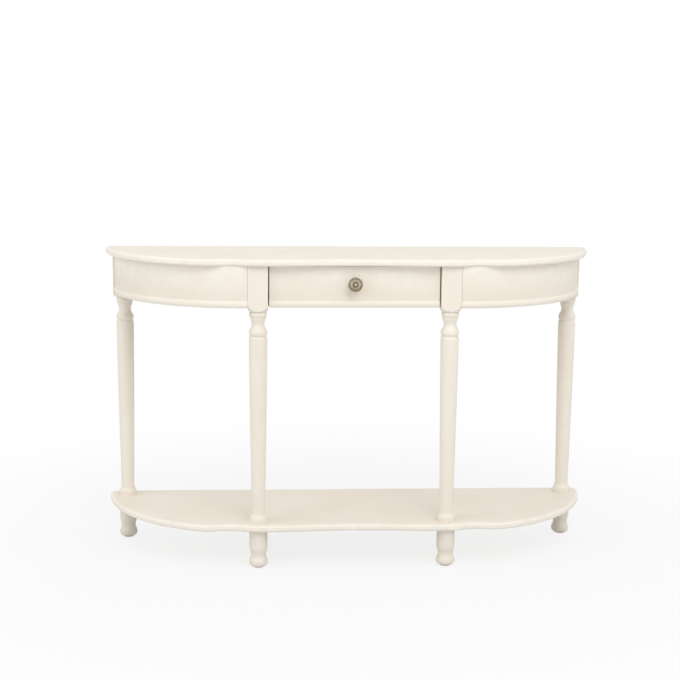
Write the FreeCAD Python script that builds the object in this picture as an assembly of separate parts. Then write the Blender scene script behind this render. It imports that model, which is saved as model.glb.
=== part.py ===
import FreeCAD
import Part
import math
import os

from FreeCAD import Vector

# Half-moon console table with one drawer and a low shelf, in millimetres.
# X runs along the wall, -Y faces the room and Z is up.
# The origin is on the floor, under the middle of the top's box.

# Whole table
WIDTH = 1200.0
DEPTH = 320.0
HEIGHT = 737.0

# Outline in plan, shared by the top and the shelf
SWEEP_RADIUS = 350.0
SWEEP_LEAD = 5.0
CORNER_RADIUS = 25.0
CORNER_TRIM = 10.0
CENTRE_HOLLOW = 10.0
LOBE_SETBACK = 9.0
LOBE_RADIUS = 60.0
DIP_DEPTH = 5.0
DIP_FROM_LEG = 72.0

# Boards
TOP_THICK = 16.0
SHELF_THICK = 16.0
EDGE_FLAT = 4.5

# Aprons, which share their height and bead with the drawer front
SKIRT_HEIGHT = 97.7
APRON_OVERHANG = 20.5
APRON_THICK = 12.0
BEAD_HEIGHT = 16.5
BEAD_PROUD = 3.0

# Places of the legs
LEG_FROM_SWEEP = 29.0
FRONT_LEG_INSET = 36.0
REAR_LEG_END_INSET = 45.5
REAR_LEG_BACK_INSET = 32.0

# Leg, with drops measured down from the underside of its block
BLOCK = 46.0
BLOCK_DROP = 10.6
BLOCK_EASE = 1.5
SHOULDER_RISE = 17.0
SHOULDER_BULGE = 2.4
QUIRK_RADIUS = 18.4
CAP_RADIUS = 20.6
CAP_DROP = 11.4
NECK_RADIUS = 14.8
NECK_DROP = 29.2
TORUS_RADIUS = 21.4
TORUS_DROP = 49.2
COLLAR_RADIUS = 19.2
COLLAR_DROP = 55.7
COLLAR_HEIGHT = 2.0
SHAFT_TOP_RADIUS = 21.4
SHAFT_DROP = 63.7
SHAFT_LOW_RADIUS = 15.8
SHAFT_SWELL = 0.5
BASE_RADIUS = 21.3
BASE_RING = 8.5
BASE_RISE = 25.0

# Foot, with heights measured up from the floor
FOOT_HEIGHT = 93.0
FOOT_RADIUS = 21.4
FOOT_SHOULDER_HEIGHT = 50.0
FOOT_NECK_RADIUS = 17.7
FOOT_NECK_HEIGHT = 29.5
BALL_RADIUS = 22.2
BALL_HEIGHT = 12.5
SOLE_RADIUS = 15.5
GLIDE_RADIUS = 12.0
GLIDE_THICK = 3.0
GLIDE_PIN_RADIUS = 1.5
GLIDE_PIN_LENGTH = 14.0

# Back rail and front rails
BACK_RAIL_THICK = 12.0
BACK_RAIL_DROP = 8.0
BACK_RAIL_PROUD = 5.0
LOWER_RAIL_LIFT = 1.0
LOWER_RAIL_HEIGHT = 18.0
FRONT_RAIL_GAP = 1.0

# Drawer
DRAWER_SETBACK = 15.0
DRAWER_SIDE_GAP = 2.5
DRAWER_TOP_GAP = 2.0
DRAWER_FRONT_THICK = 18.0
DRAWER_FRONT_EASE = 1.5
BOX_INSET = 8.0
BOX_WALL = 12.0
BOTTOM_THICK = 5.0
BOTTOM_LIFT = 6.0
GROOVE_DEPTH = 5.0
STOP_LENGTH = 24.0
STOP_WIDTH = 20.0
STOP_HEIGHT = 22.0
STOP_FROM_SIDE = 48.0

# Drawer runners and kickers
RUNNER_WALL = 24.0
RUNNER_HEIGHT = 62.0
LEDGE_WIDTH = 20.0
LEDGE_THICK = 13.5
KICKER_THICK = 13.7

# Glue blocks in the corners of the frame
GLUE_BLOCK_WIDTH = 30.0
GLUE_BLOCK_HEIGHT = 60.0

# Knob, with distances measured out from the drawer front
KNOB_RADIUS = 17.0
KNOB_PROJECTION = 26.0
KNOB_RIM_WIDTH = 2.4
KNOB_RIM_THICK = 4.0
KNOB_RIM_REACH = 23.0
KNOB_FLANGE_RADIUS = 8.5
KNOB_FLANGE_THICK = 2.5
KNOB_STEM_RADIUS = 5.5
KNOB_STEM_REACH = 7.5
KNOB_DISH_DEPTH = 2.0
KNOB_RING_RADIUS = 6.2
KNOB_RING_WIDTH = 1.8
KNOB_BOSS_RADIUS = 3.0
PETALS = 14
PETAL_INNER_RADIUS = 0.9
PETAL_OUTER_RADIUS = 2.3
PETAL_MARGIN = 0.5

# Fasteners
ROD_RADIUS = 4.0
ROD_IN_LEG = 45.0
ROD_IN_FOOT = 40.0
DOWEL_RADIUS = 3.0
DOWEL_LENGTH = 24.0
SCREW_RADIUS = 2.0
SCREW_HEAD_RADIUS = 4.0
SCREW_HEAD_HEIGHT = 2.4
BRACKET_SCREW_LENGTH = 12.0
RAIL_SCREW_LENGTH = 38.0
KNOB_SCREW_IN_KNOB = 11.0
BRACKET_LEG = 26.0
BRACKET_WIDTH = 20.0
BRACKET_THICK = 2.0
BRACKET_SPACING = 680.0
BRACKET_FROM_LEG = 8.0

# Clearances
HOLE_FIT = 0.1
HOLE_END = 0.5
SLIDE_GAP = 0.3
SIDE_PLAY = 0.5
KICK_GAP = 1.5
GROOVE_FIT = 0.1

# How near an edge must lie to a place to be found there
PLACE_TOLERANCE = 0.01

# Levels
FRONT = -DEPTH / 2
BACK = DEPTH / 2
TOP_UNDER = HEIGHT - TOP_THICK
SKIRT_BOTTOM = TOP_UNDER - SKIRT_HEIGHT
BLOCK_BOTTOM = SKIRT_BOTTOM - BLOCK_DROP
SHELF_TOP = FOOT_HEIGHT + SHELF_THICK

# Centres of the sweep and of the back corner, on the right-hand side
SWEEP_Y = FRONT - SWEEP_LEAD + SWEEP_RADIUS
CORNER_X = WIDTH / 2 - CORNER_RADIUS
CORNER_Y = BACK + CORNER_TRIM - CORNER_RADIUS
SWEEP_X = CORNER_X - math.sqrt((SWEEP_RADIUS - CORNER_RADIUS) ** 2 - (CORNER_Y - SWEEP_Y) ** 2)

# Legs and aprons in plan, on the right-hand side
HALF_BLOCK = BLOCK / 2
FRONT_LEG = Vector(SWEEP_X - LEG_FROM_SWEEP, FRONT + FRONT_LEG_INSET, 0)
REAR_LEG = Vector(WIDTH / 2 - REAR_LEG_END_INSET, BACK - REAR_LEG_BACK_INSET, 0)
FRONT_BLOCK_FACE = FRONT_LEG.y - HALF_BLOCK
FRONT_BLOCK_REAR = FRONT_LEG.y + HALF_BLOCK
OPENING_HALF = FRONT_LEG.x - HALF_BLOCK
APRON_OUTER = SWEEP_RADIUS - APRON_OVERHANG
APRON_INNER = APRON_OUTER - APRON_THICK
APRON_FRONT_END = FRONT_LEG.x + HALF_BLOCK

# Rails in plan
RAIL_BACK = REAR_LEG.y + HALF_BLOCK
RAIL_FRONT = RAIL_BACK - BACK_RAIL_THICK
RAIL_END = SWEEP_X + math.sqrt(APRON_OUTER ** 2 - (SWEEP_Y - RAIL_FRONT) ** 2) + BACK_RAIL_PROUD

# Drawer places
DRAWER_FACE = FRONT_BLOCK_FACE + DRAWER_SETBACK
DRAWER_INSIDE = DRAWER_FACE + DRAWER_FRONT_THICK
DRAWER_END = RAIL_FRONT - STOP_LENGTH - SLIDE_GAP
BOX_HALF = OPENING_HALF - DRAWER_SIDE_GAP - BOX_INSET
LEDGE_TOP = SKIRT_BOTTOM + LOWER_RAIL_LIFT + LOWER_RAIL_HEIGHT
BOX_BOTTOM = LEDGE_TOP + SLIDE_GAP
KICK_BOTTOM = TOP_UNDER - KICKER_THICK
BOX_TOP = KICK_BOTTOM - KICK_GAP
PANEL_BOTTOM = BOX_BOTTOM + BOTTOM_LIFT
PANEL_TOP = PANEL_BOTTOM + BOTTOM_THICK
RAIL_FACE = DRAWER_INSIDE + FRONT_RAIL_GAP
KNOB_LEVEL = (SKIRT_BOTTOM + BEAD_HEIGHT + TOP_UNDER - DRAWER_TOP_GAP) / 2
RUNNER_INNER = BOX_HALF + SIDE_PLAY
RUNNER_OUTER = RUNNER_INNER + RUNNER_WALL
RUNNER_BOTTOM = LEDGE_TOP - LEDGE_THICK
RUNNER_MIDDLE = RUNNER_BOTTOM + RUNNER_HEIGHT / 2

SIDES = {"left": -1, "right": 1}
ALONG_X = Vector(1, 0, 0)
ALONG_Y = Vector(0, 1, 0)
ALONG_Z = Vector(0, 0, 1)
ORIGIN = Vector(0, 0, 0)


def box(x0, x1, y0, y1, z0, z1):
    """Block between two opposite corners, given in any order along X."""
    return Part.makeBox(abs(x1 - x0), y1 - y0, z1 - z0, Vector(min(x0, x1), y0, z0))


def mirrored(shape):
    """The same shape on the left-hand side."""
    return shape.mirror(ORIGIN, ALONG_X)


def on_side(shape, side):
    """A right-hand shape as it is, or mirrored for the left."""
    return shape if side > 0 else mirrored(shape)


def at_side(point, side):
    """A right-hand point moved to the given side."""
    return Vector(side * point.x, point.y, point.z)


def line(start, end):
    """Straight edge between two points."""
    return Part.LineSegment(start, end).toShape()


def arc(start, middle, end):
    """Circle edge through three points."""
    return Part.Arc(start, middle, end).toShape()


def ogee(start, end, along, across):
    """Two equal tangent arcs that leave start and reach end in the along direction."""
    run = (end - start).dot(along)
    rise = (end - start).dot(across)
    radius = (run ** 2 + rise ** 2) / (4 * rise)
    half_turn = math.atan(rise / run)
    first = start + along * (radius * math.sin(half_turn)) + across * (radius * (1 - math.cos(half_turn)))
    middle = (start + end) * 0.5
    return [arc(start, first, middle), arc(middle, start + end - first, end)]


def round_about(centre, radius, start_angle, end_angle):
    """Arc in plan about a centre, between two angles."""
    angles = [start_angle, (start_angle + end_angle) / 2, end_angle]
    points = [centre + Vector(math.cos(a), math.sin(a), 0) * radius for a in angles]
    return arc(*points)


# Boards

def right_front_edge():
    """Front edge of a board from the middle to the back corner, as a chain of tangent arcs."""
    bulge = Vector(FRONT_LEG.x, FRONT, 0)
    middle = Vector(0, FRONT + CENTRE_HOLLOW, 0)
    dip = Vector(FRONT_LEG.x + DIP_FROM_LEG, FRONT + LOBE_SETBACK + DIP_DEPTH, 0)
    sweep = Vector(SWEEP_X, SWEEP_Y, 0)
    corner = Vector(CORNER_X, CORNER_Y, 0)
    lobe_y = FRONT + LOBE_SETBACK + LOBE_RADIUS
    lobe_x = SWEEP_X + math.sqrt((SWEEP_RADIUS - LOBE_RADIUS) ** 2 - (lobe_y - SWEEP_Y) ** 2)
    lobe = Vector(lobe_x, lobe_y, 0)
    nose = lobe - Vector(0, LOBE_RADIUS, 0)
    sweep_start = math.atan2(lobe.y - sweep.y, lobe.x - sweep.x)
    sweep_end = math.atan2(corner.y - sweep.y, corner.x - sweep.x)
    edges = ogee(middle, bulge, ALONG_X, ALONG_Y)
    edges += ogee(bulge, dip, ALONG_X, ALONG_Y)
    edges += ogee(dip, nose, ALONG_X, ALONG_Y)
    edges.append(round_about(lobe, LOBE_RADIUS, -math.pi / 2, sweep_start))
    edges.append(round_about(sweep, SWEEP_RADIUS, sweep_start, sweep_end))
    edges.append(round_about(corner, CORNER_RADIUS, sweep_end, math.pi / 2))
    return edges


def board(bottom, thick):
    """Half-moon board with a bullnose edge and a straight square back."""
    right = right_front_edge()
    left = [mirrored(edge) for edge in right]
    tail = Vector(CORNER_X, BACK + CORNER_TRIM, 0)
    outline = Part.Wire(Part.__sortEdges__(right + left + [line(tail, at_side(tail, -1))]))
    slab = Part.Face(outline).extrude(ALONG_Z * thick)
    rim = [e for e in slab.Edges if e.BoundBox.ZLength < thick / 2]
    slab = slab.makeFillet((thick - EDGE_FLAT) / 2, rim)
    slab.translate(Vector(0, 0, bottom))
    behind = box(-WIDTH, WIDTH, BACK, BACK + DEPTH, bottom - thick, bottom + 2 * thick)
    return slab.cut(behind)


# Aprons and drawer front

def skirt_section(face, inside, top):
    """Section of an apron or drawer front, facing +X, with the bead at its foot."""
    bead_top = Vector(face, 0, SKIRT_BOTTOM + BEAD_HEIGHT)
    bead_nose = Vector(face + BEAD_PROUD, 0, SKIRT_BOTTOM + BEAD_HEIGHT / 2)
    foot = Vector(face, 0, SKIRT_BOTTOM)
    inner_foot = Vector(inside, 0, SKIRT_BOTTOM)
    inner_head = Vector(inside, 0, top)
    head = Vector(face, 0, top)
    edges = [
        line(head, bead_top),
        arc(bead_top, bead_nose, foot),
        line(foot, inner_foot),
        line(inner_foot, inner_head),
        line(inner_head, head),
    ]
    return Part.Face(Part.Wire(edges))


def apron():
    """Right-hand apron, a turned ring cut off at the leg block and at the back rail."""
    section = skirt_section(APRON_OUTER, APRON_INNER, TOP_UNDER)
    ring = section.revolve(ORIGIN, ALONG_Z, 360)
    ring.translate(Vector(SWEEP_X, SWEEP_Y, 0))
    quarter = box(APRON_FRONT_END, WIDTH, -DEPTH, RAIL_FRONT, SKIRT_BOTTOM, TOP_UNDER)
    return ring.common(quarter)


def drawer_front():
    """Beaded drawer front with a groove for the bottom panel."""
    width = 2 * (OPENING_HALF - DRAWER_SIDE_GAP)
    section = skirt_section(-DRAWER_FACE, -DRAWER_INSIDE, TOP_UNDER - DRAWER_TOP_GAP)
    front = section.extrude(ALONG_Y * width)
    front.translate(Vector(0, -width / 2, 0))
    front.rotate(ORIGIN, ALONG_Z, -90)
    upright = [e for e in front.Edges if is_upright(e, DRAWER_FACE)]
    front = front.makeFillet(DRAWER_FRONT_EASE, upright)
    return front.cut(panel_space())


def is_upright(edge, y):
    """True for a vertical straight edge that lies at the given depth."""
    bounds = edge.BoundBox
    upright = max(bounds.XLength, bounds.YLength) < PLACE_TOLERANCE
    return upright and abs(bounds.YMin - y) < PLACE_TOLERANCE


# Legs and feet

def turned(edges):
    """Solid of revolution about Z of a chain of profile edges that ends on the axis."""
    return Part.Face(Part.Wire(Part.__sortEdges__(edges))).revolve(ORIGIN, ALONG_Z, 360)


def spot(radius, height):
    """Point of a turning profile."""
    return Vector(radius, 0, height)


def turned_leg():
    """Turned part of a leg from the shelf up to the underside of its block."""
    base = spot(BASE_RADIUS, SHELF_TOP)
    ring = spot(BASE_RADIUS, SHELF_TOP + BASE_RING)
    low = spot(SHAFT_LOW_RADIUS, SHELF_TOP + BASE_RISE)
    high = spot(SHAFT_TOP_RADIUS, BLOCK_BOTTOM - SHAFT_DROP)
    swell = (low + high) * 0.5 + spot(SHAFT_SWELL, 0)
    collar_low = spot(COLLAR_RADIUS, BLOCK_BOTTOM - COLLAR_DROP - COLLAR_HEIGHT)
    collar_high = spot(COLLAR_RADIUS, BLOCK_BOTTOM - COLLAR_DROP)
    torus = spot(TORUS_RADIUS, BLOCK_BOTTOM - TORUS_DROP)
    neck = spot(NECK_RADIUS, BLOCK_BOTTOM - NECK_DROP)
    cap_low = spot(QUIRK_RADIUS, BLOCK_BOTTOM - CAP_DROP)
    cap = spot(CAP_RADIUS, BLOCK_BOTTOM - CAP_DROP / 2)
    quirk = spot(QUIRK_RADIUS, BLOCK_BOTTOM)
    edges = [line(spot(0, SHELF_TOP), base), line(base, ring)]
    edges += ogee(ring, low, ALONG_Z, ALONG_X)
    edges.append(arc(low, swell, high))
    edges.append(quarter_round(high, collar_low))
    edges.append(line(collar_low, collar_high))
    edges.append(quarter_round(torus, collar_high))
    edges += ogee(torus, neck, ALONG_Z, ALONG_X)
    edges += ogee(neck, cap_low, ALONG_Z, ALONG_X)
    edges.append(arc(cap_low, cap, quirk))
    edges.append(line(quirk, spot(0, BLOCK_BOTTOM)))
    edges.append(line(spot(0, BLOCK_BOTTOM), spot(0, SHELF_TOP)))
    return turned(edges)


def quarter_round(level, end):
    """Arc that leaves the first point straight up or down and ends at the second."""
    reach = level.x - end.x
    rise = end.z - level.z
    radius = (reach ** 2 + rise ** 2) / (2 * reach)
    half_turn = math.atan(reach / rise)
    middle = level + spot(-radius * (1 - math.cos(half_turn)), radius * math.sin(half_turn))
    return arc(level, middle, end)


def leg_block():
    """Square block of a leg, with its lower corners turned off to a round shoulder."""
    square = box(-HALF_BLOCK, HALF_BLOCK, -HALF_BLOCK, HALF_BLOCK, BLOCK_BOTTOM, TOP_UNDER)
    corners = [e for e in square.Edges if e.BoundBox.ZLength > BLOCK / 2]
    square = square.makeFillet(BLOCK_EASE, corners)
    corner_radius = BLOCK / math.sqrt(2)
    quirk = spot(QUIRK_RADIUS, BLOCK_BOTTOM)
    corner = spot(corner_radius, BLOCK_BOTTOM + SHOULDER_RISE)
    chord = corner - quirk
    bulge = (quirk + corner) * 0.5 + spot(chord.z, -chord.x) * (SHOULDER_BULGE / chord.Length)
    edges = [
        line(spot(0, BLOCK_BOTTOM), quirk),
        arc(quirk, bulge, corner),
        line(corner, spot(corner_radius, TOP_UNDER)),
        line(spot(corner_radius, TOP_UNDER), spot(0, TOP_UNDER)),
        line(spot(0, TOP_UNDER), spot(0, BLOCK_BOTTOM)),
    ]
    return square.common(turned(edges))


def front_leg():
    """Right-hand front leg."""
    leg = turned_leg().fuse(leg_block()).removeSplitter()
    leg.translate(FRONT_LEG)
    return leg


def rear_leg():
    """Right-hand rear leg, rebated for the apron and housed for the back rail."""
    leg = turned_leg().fuse(leg_block()).removeSplitter()
    leg.translate(REAR_LEG)
    height = TOP_UNDER - SKIRT_BOTTOM
    outside = Part.makeCylinder(2 * SWEEP_RADIUS, height, Vector(SWEEP_X, SWEEP_Y, SKIRT_BOTTOM))
    inside = Part.makeCylinder(APRON_INNER, height, Vector(SWEEP_X, SWEEP_Y, SKIRT_BOTTOM))
    rail_space = box(0, WIDTH, RAIL_FRONT, BACK, SKIRT_BOTTOM - BACK_RAIL_DROP, TOP_UNDER)
    return leg.cut(outside.cut(inside)).cut(rail_space)


def foot(place):
    """Turned foot under the shelf, on its glide."""
    sole = spot(SOLE_RADIUS, GLIDE_THICK)
    ball = spot(BALL_RADIUS, BALL_HEIGHT)
    neck = spot(FOOT_NECK_RADIUS, FOOT_NECK_HEIGHT)
    shoulder = spot(FOOT_RADIUS, FOOT_SHOULDER_HEIGHT)
    head = spot(FOOT_RADIUS, FOOT_HEIGHT)
    edges = [line(spot(0, GLIDE_THICK), sole), quarter_round(ball, sole)]
    edges += ogee(ball, neck, ALONG_Z, ALONG_X)
    edges += ogee(neck, shoulder, ALONG_Z, ALONG_X)
    edges += [line(shoulder, head), line(head, spot(0, FOOT_HEIGHT))]
    edges.append(line(spot(0, FOOT_HEIGHT), spot(0, GLIDE_THICK)))
    shape = turned(edges)
    shape.translate(place)
    return shape


# Frame inside

def back_rail():
    """Board across the back, housed in the rear legs."""
    return box(-RAIL_END, RAIL_END, RAIL_FRONT, RAIL_BACK, SKIRT_BOTTOM - BACK_RAIL_DROP, TOP_UNDER)


def front_rail(bottom, top):
    """Rail between the front leg blocks, behind the drawer front."""
    return box(-OPENING_HALF, OPENING_HALF, RAIL_FACE, FRONT_BLOCK_REAR, bottom, top)


def runner():
    """Right-hand runner: a wall that guides the drawer side and a ledge that carries it."""
    head = RUNNER_BOTTOM + RUNNER_HEIGHT
    inner = BOX_HALF - LEDGE_WIDTH
    wall = box(RUNNER_INNER, RUNNER_OUTER, FRONT_BLOCK_REAR, RAIL_FRONT, RUNNER_BOTTOM, head)
    ledge = box(inner, RUNNER_INNER, FRONT_BLOCK_REAR, RAIL_FRONT, RUNNER_BOTTOM, LEDGE_TOP)
    return wall.fuse(ledge).removeSplitter()


def kicker():
    """Right-hand strip above the drawer side."""
    return box(BOX_HALF - BOX_WALL, BOX_HALF, FRONT_BLOCK_REAR, RAIL_FRONT, KICK_BOTTOM, TOP_UNDER)


def drawer_stop():
    """Right-hand block on the back rail that the closed drawer meets."""
    inner = BOX_HALF - BOX_WALL - STOP_FROM_SIDE - STOP_WIDTH
    low = (PANEL_TOP + BOX_TOP - STOP_HEIGHT) / 2
    nose = RAIL_FRONT - STOP_LENGTH
    return box(inner, inner + STOP_WIDTH, nose, RAIL_FRONT, low, low + STOP_HEIGHT)


def front_glue_block():
    """Right-hand block in the corner of leg block and apron, shaped to the apron's curve."""
    low = (SKIRT_BOTTOM + TOP_UNDER - GLUE_BLOCK_HEIGHT) / 2
    far = APRON_FRONT_END + GLUE_BLOCK_WIDTH
    bar = box(APRON_FRONT_END, far, -DEPTH, FRONT_BLOCK_REAR, low, low + GLUE_BLOCK_HEIGHT)
    inside = Part.makeCylinder(APRON_INNER, GLUE_BLOCK_HEIGHT, Vector(SWEEP_X, SWEEP_Y, low))
    return bar.common(inside)


def rear_glue_block():
    """Right-hand three-cornered block between rear leg block and back rail."""
    low = (SKIRT_BOTTOM + TOP_UNDER - GLUE_BLOCK_HEIGHT) / 2
    corner = Vector(REAR_LEG.x - HALF_BLOCK, RAIL_FRONT, low)
    along_rail = corner - Vector(GLUE_BLOCK_WIDTH, 0, 0)
    along_leg = corner - Vector(0, GLUE_BLOCK_WIDTH, 0)
    outline = Part.makePolygon([corner, along_rail, along_leg, corner])
    return Part.Face(outline).extrude(ALONG_Z * GLUE_BLOCK_HEIGHT)


# Drawer box

def panel_space():
    """Room that the bottom panel needs in the grooves around it."""
    half = BOX_HALF - BOX_WALL + GROOVE_DEPTH
    return box(-half, half, DRAWER_INSIDE - GROOVE_DEPTH, DRAWER_END, PANEL_BOTTOM, PANEL_TOP)


def drawer_bottom():
    """Bottom panel, smaller than its grooves by the groove's fit."""
    half = BOX_HALF - BOX_WALL + GROOVE_DEPTH - GROOVE_FIT
    return box(-half, half, DRAWER_INSIDE - GROOVE_DEPTH + GROOVE_FIT, DRAWER_END, PANEL_BOTTOM, PANEL_TOP)


def drawer_side():
    """Right-hand side of the drawer box."""
    wall = box(BOX_HALF - BOX_WALL, BOX_HALF, DRAWER_INSIDE, DRAWER_END, BOX_BOTTOM, BOX_TOP)
    return wall.cut(panel_space())


def drawer_back():
    """Back of the drawer box, between its sides and on its bottom panel."""
    half = BOX_HALF - BOX_WALL
    return box(-half, half, DRAWER_END - BOX_WALL, DRAWER_END, PANEL_TOP, BOX_TOP)


def knob():
    """Rosette knob: flange, stem, trumpet back, round rim, fluted dish, ring and boss."""
    inner_rim = KNOB_RADIUS - KNOB_RIM_WIDTH
    crest_foot = KNOB_RIM_REACH - KNOB_RIM_WIDTH / 2
    dish = KNOB_RIM_REACH - KNOB_DISH_DEPTH
    ring_inside = KNOB_RING_RADIUS - KNOB_RING_WIDTH
    dome = KNOB_PROJECTION - KNOB_BOSS_RADIUS
    slant = KNOB_BOSS_RADIUS * math.sqrt(0.5)
    corners = [
        spot(0, 0),
        spot(KNOB_FLANGE_RADIUS, 0),
        spot(KNOB_FLANGE_RADIUS, KNOB_FLANGE_THICK),
        spot(KNOB_STEM_RADIUS, KNOB_FLANGE_THICK),
        spot(KNOB_STEM_RADIUS, KNOB_STEM_REACH),
    ]
    rim_back = spot(KNOB_RADIUS, KNOB_RIM_REACH - KNOB_RIM_THICK)
    rim_out = spot(KNOB_RADIUS, crest_foot)
    rim_in = spot(inner_rim, crest_foot)
    dish_out = spot(inner_rim, dish)
    ring_out = spot(KNOB_RING_RADIUS, dish)
    ring_in = spot(ring_inside, dish)
    boss_foot = spot(KNOB_BOSS_RADIUS, dish)
    boss_side = spot(KNOB_BOSS_RADIUS, dome)
    edges = [line(a, b) for a, b in zip(corners, corners[1:])]
    edges += [
        quarter_round(corners[-1], rim_back),
        line(rim_back, rim_out),
        arc(rim_out, spot(KNOB_RADIUS - KNOB_RIM_WIDTH / 2, KNOB_RIM_REACH), rim_in),
        line(rim_in, dish_out),
        line(dish_out, ring_out),
        arc(ring_out, spot((KNOB_RING_RADIUS + ring_inside) / 2, dish + KNOB_RING_WIDTH / 2), ring_in),
        line(ring_in, boss_foot),
        line(boss_foot, boss_side),
        arc(boss_side, spot(slant, dome + slant), spot(0, KNOB_PROJECTION)),
        line(spot(0, KNOB_PROJECTION), spot(0, 0)),
    ]
    shape = turned(edges)
    length = inner_rim - KNOB_RING_RADIUS - 2 * PETAL_MARGIN
    for index in range(PETALS):
        angle = 2 * math.pi * index / PETALS
        outwards = Vector(math.cos(angle), math.sin(angle), 0)
        start = outwards * (KNOB_RING_RADIUS + PETAL_MARGIN) + Vector(0, 0, dish)
        shape = shape.cut(Part.makeCone(PETAL_INNER_RADIUS, PETAL_OUTER_RADIUS, length, start, outwards))
    shape.rotate(ORIGIN, ALONG_X, 90)
    shape.translate(Vector(0, DRAWER_FACE, KNOB_LEVEL))
    return shape


# Fasteners, each with the hole that it needs

class Peg:
    """A round fastener and the hole for it, along a direction from a point."""

    def __init__(self, radius, length, point, direction, head=None):
        wide = radius + HOLE_FIT
        mouth = point - direction * HOLE_END
        self.solid = Part.makeCylinder(radius, length, point, direction)
        self.hole = Part.makeCylinder(wide, length + 2 * HOLE_END, mouth, direction)
        if head == "pan":
            crown = point - direction * SCREW_HEAD_HEIGHT
            disc = Part.makeCylinder(SCREW_HEAD_RADIUS, SCREW_HEAD_HEIGHT, crown, direction)
            self.solid = self.solid.fuse(disc)
        if head == "countersunk":
            cone = Part.makeCone(SCREW_HEAD_RADIUS, radius, SCREW_HEAD_HEIGHT, point, direction)
            seat = Part.makeCone(SCREW_HEAD_RADIUS + HOLE_FIT, wide, SCREW_HEAD_HEIGHT, point, direction)
            self.solid = self.solid.fuse(cone)
            self.hole = self.hole.fuse(seat)
        self.solid = self.solid.removeSplitter()


def leg_places():
    """Axes of the four legs by name."""
    places = {}
    for name, side in SIDES.items():
        places["front_" + name] = at_side(FRONT_LEG, side)
        places["rear_" + name] = at_side(REAR_LEG, side)
    return places


def leg_rods():
    """Threaded rods from each foot through the shelf into the leg."""
    length = ROD_IN_FOOT + SHELF_THICK + ROD_IN_LEG
    low = Vector(0, 0, FOOT_HEIGHT - ROD_IN_FOOT)
    return [Peg(ROD_RADIUS, length, place + low, ALONG_Z) for place in leg_places().values()]


def glide_pins():
    """Pins that hold the glides in the soles of the feet."""
    sole = Vector(0, 0, GLIDE_THICK)
    places = leg_places().values()
    return [Peg(GLIDE_PIN_RADIUS, GLIDE_PIN_LENGTH, place + sole, ALONG_Z) for place in places]


def foot_glides(pins):
    """Round nylon glides, each with its pin."""
    glides = []
    for pin, place in zip(pins, leg_places().values()):
        disc = Part.makeCylinder(GLIDE_RADIUS, GLIDE_THICK, place)
        glides.append(disc.fuse(pin.solid).removeSplitter())
    return glides


def frame_dowels():
    """Dowels from the front leg blocks into aprons, front rails and runners."""
    half = DOWEL_LENGTH / 2
    apron_middle = SWEEP_Y - (APRON_OUTER + APRON_INNER) / 2
    rail_middle = (RAIL_FACE + FRONT_BLOCK_REAR) / 2
    lower_level = LEDGE_TOP - LOWER_RAIL_HEIGHT / 2
    upper_level = (KICK_BOTTOM + TOP_UNDER) / 2
    third = SKIRT_HEIGHT / 3
    across = [
        Vector(APRON_FRONT_END - half, apron_middle, SKIRT_BOTTOM + third),
        Vector(APRON_FRONT_END - half, apron_middle, TOP_UNDER - third),
        Vector(OPENING_HALF - half, rail_middle, lower_level),
        Vector(OPENING_HALF - half, rail_middle, upper_level),
    ]
    lengthways = Vector((OPENING_HALF + RUNNER_OUTER) / 2, FRONT_BLOCK_REAR - half, RUNNER_MIDDLE)
    pegs = []
    for side in SIDES.values():
        for point in across:
            pegs.append(Peg(DOWEL_RADIUS, DOWEL_LENGTH, at_side(point, side), ALONG_X * side))
        pegs.append(Peg(DOWEL_RADIUS, DOWEL_LENGTH, at_side(lengthways, side), ALONG_Y))
    return pegs


def drawer_dowels():
    """Dowels from the drawer front into the ends of the drawer sides."""
    start = DRAWER_INSIDE - DOWEL_LENGTH / 2
    levels = [(PANEL_TOP * 3 + BOX_TOP) / 4, (PANEL_TOP + BOX_TOP * 3) / 4]
    pegs = []
    for side in SIDES.values():
        for level in levels:
            point = Vector(side * (BOX_HALF - BOX_WALL / 2), start, level)
            pegs.append(Peg(DOWEL_RADIUS, DOWEL_LENGTH, point, ALONG_Y))
    return pegs


def back_rail_screws():
    """Countersunk screws from behind into the rear leg blocks and the runners."""
    third = SKIRT_HEIGHT / 3
    points = [
        Vector(REAR_LEG.x, RAIL_BACK, SKIRT_BOTTOM + third),
        Vector(REAR_LEG.x, RAIL_BACK, TOP_UNDER - third),
        Vector((RUNNER_INNER + RUNNER_OUTER) / 2, RAIL_BACK, RUNNER_MIDDLE),
    ]
    pegs = []
    for side in SIDES.values():
        for point in points:
            place = at_side(point, side)
            pegs.append(Peg(SCREW_RADIUS, RAIL_SCREW_LENGTH, place, ALONG_Y * -1, "countersunk"))
    return pegs


def bracket_seats():
    """Corners under the top where a bracket sits, each with the way its foot points."""
    rear = Vector(BRACKET_SPACING / 2, RAIL_FRONT, TOP_UNDER)
    front = Vector(FRONT_LEG.x + BRACKET_FROM_LEG, FRONT_BLOCK_REAR, TOP_UNDER)
    seats = []
    for side in SIDES.values():
        seats.append((at_side(rear, side), -1))
        seats.append((at_side(front, side), 1))
    return seats


def top_brackets():
    """Steel angles between the frame and the underside of the top."""
    brackets = []
    for seat, way in bracket_seats():
        x0 = seat.x - BRACKET_WIDTH / 2
        x1 = seat.x + BRACKET_WIDTH / 2
        reach = sorted([seat.y, seat.y + way * BRACKET_LEG])
        wall = sorted([seat.y, seat.y + way * BRACKET_THICK])
        flat = box(x0, x1, reach[0], reach[1], seat.z - BRACKET_THICK, seat.z)
        upright = box(x0, x1, wall[0], wall[1], seat.z - BRACKET_LEG, seat.z)
        brackets.append(flat.fuse(upright).removeSplitter())
    return brackets


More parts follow.
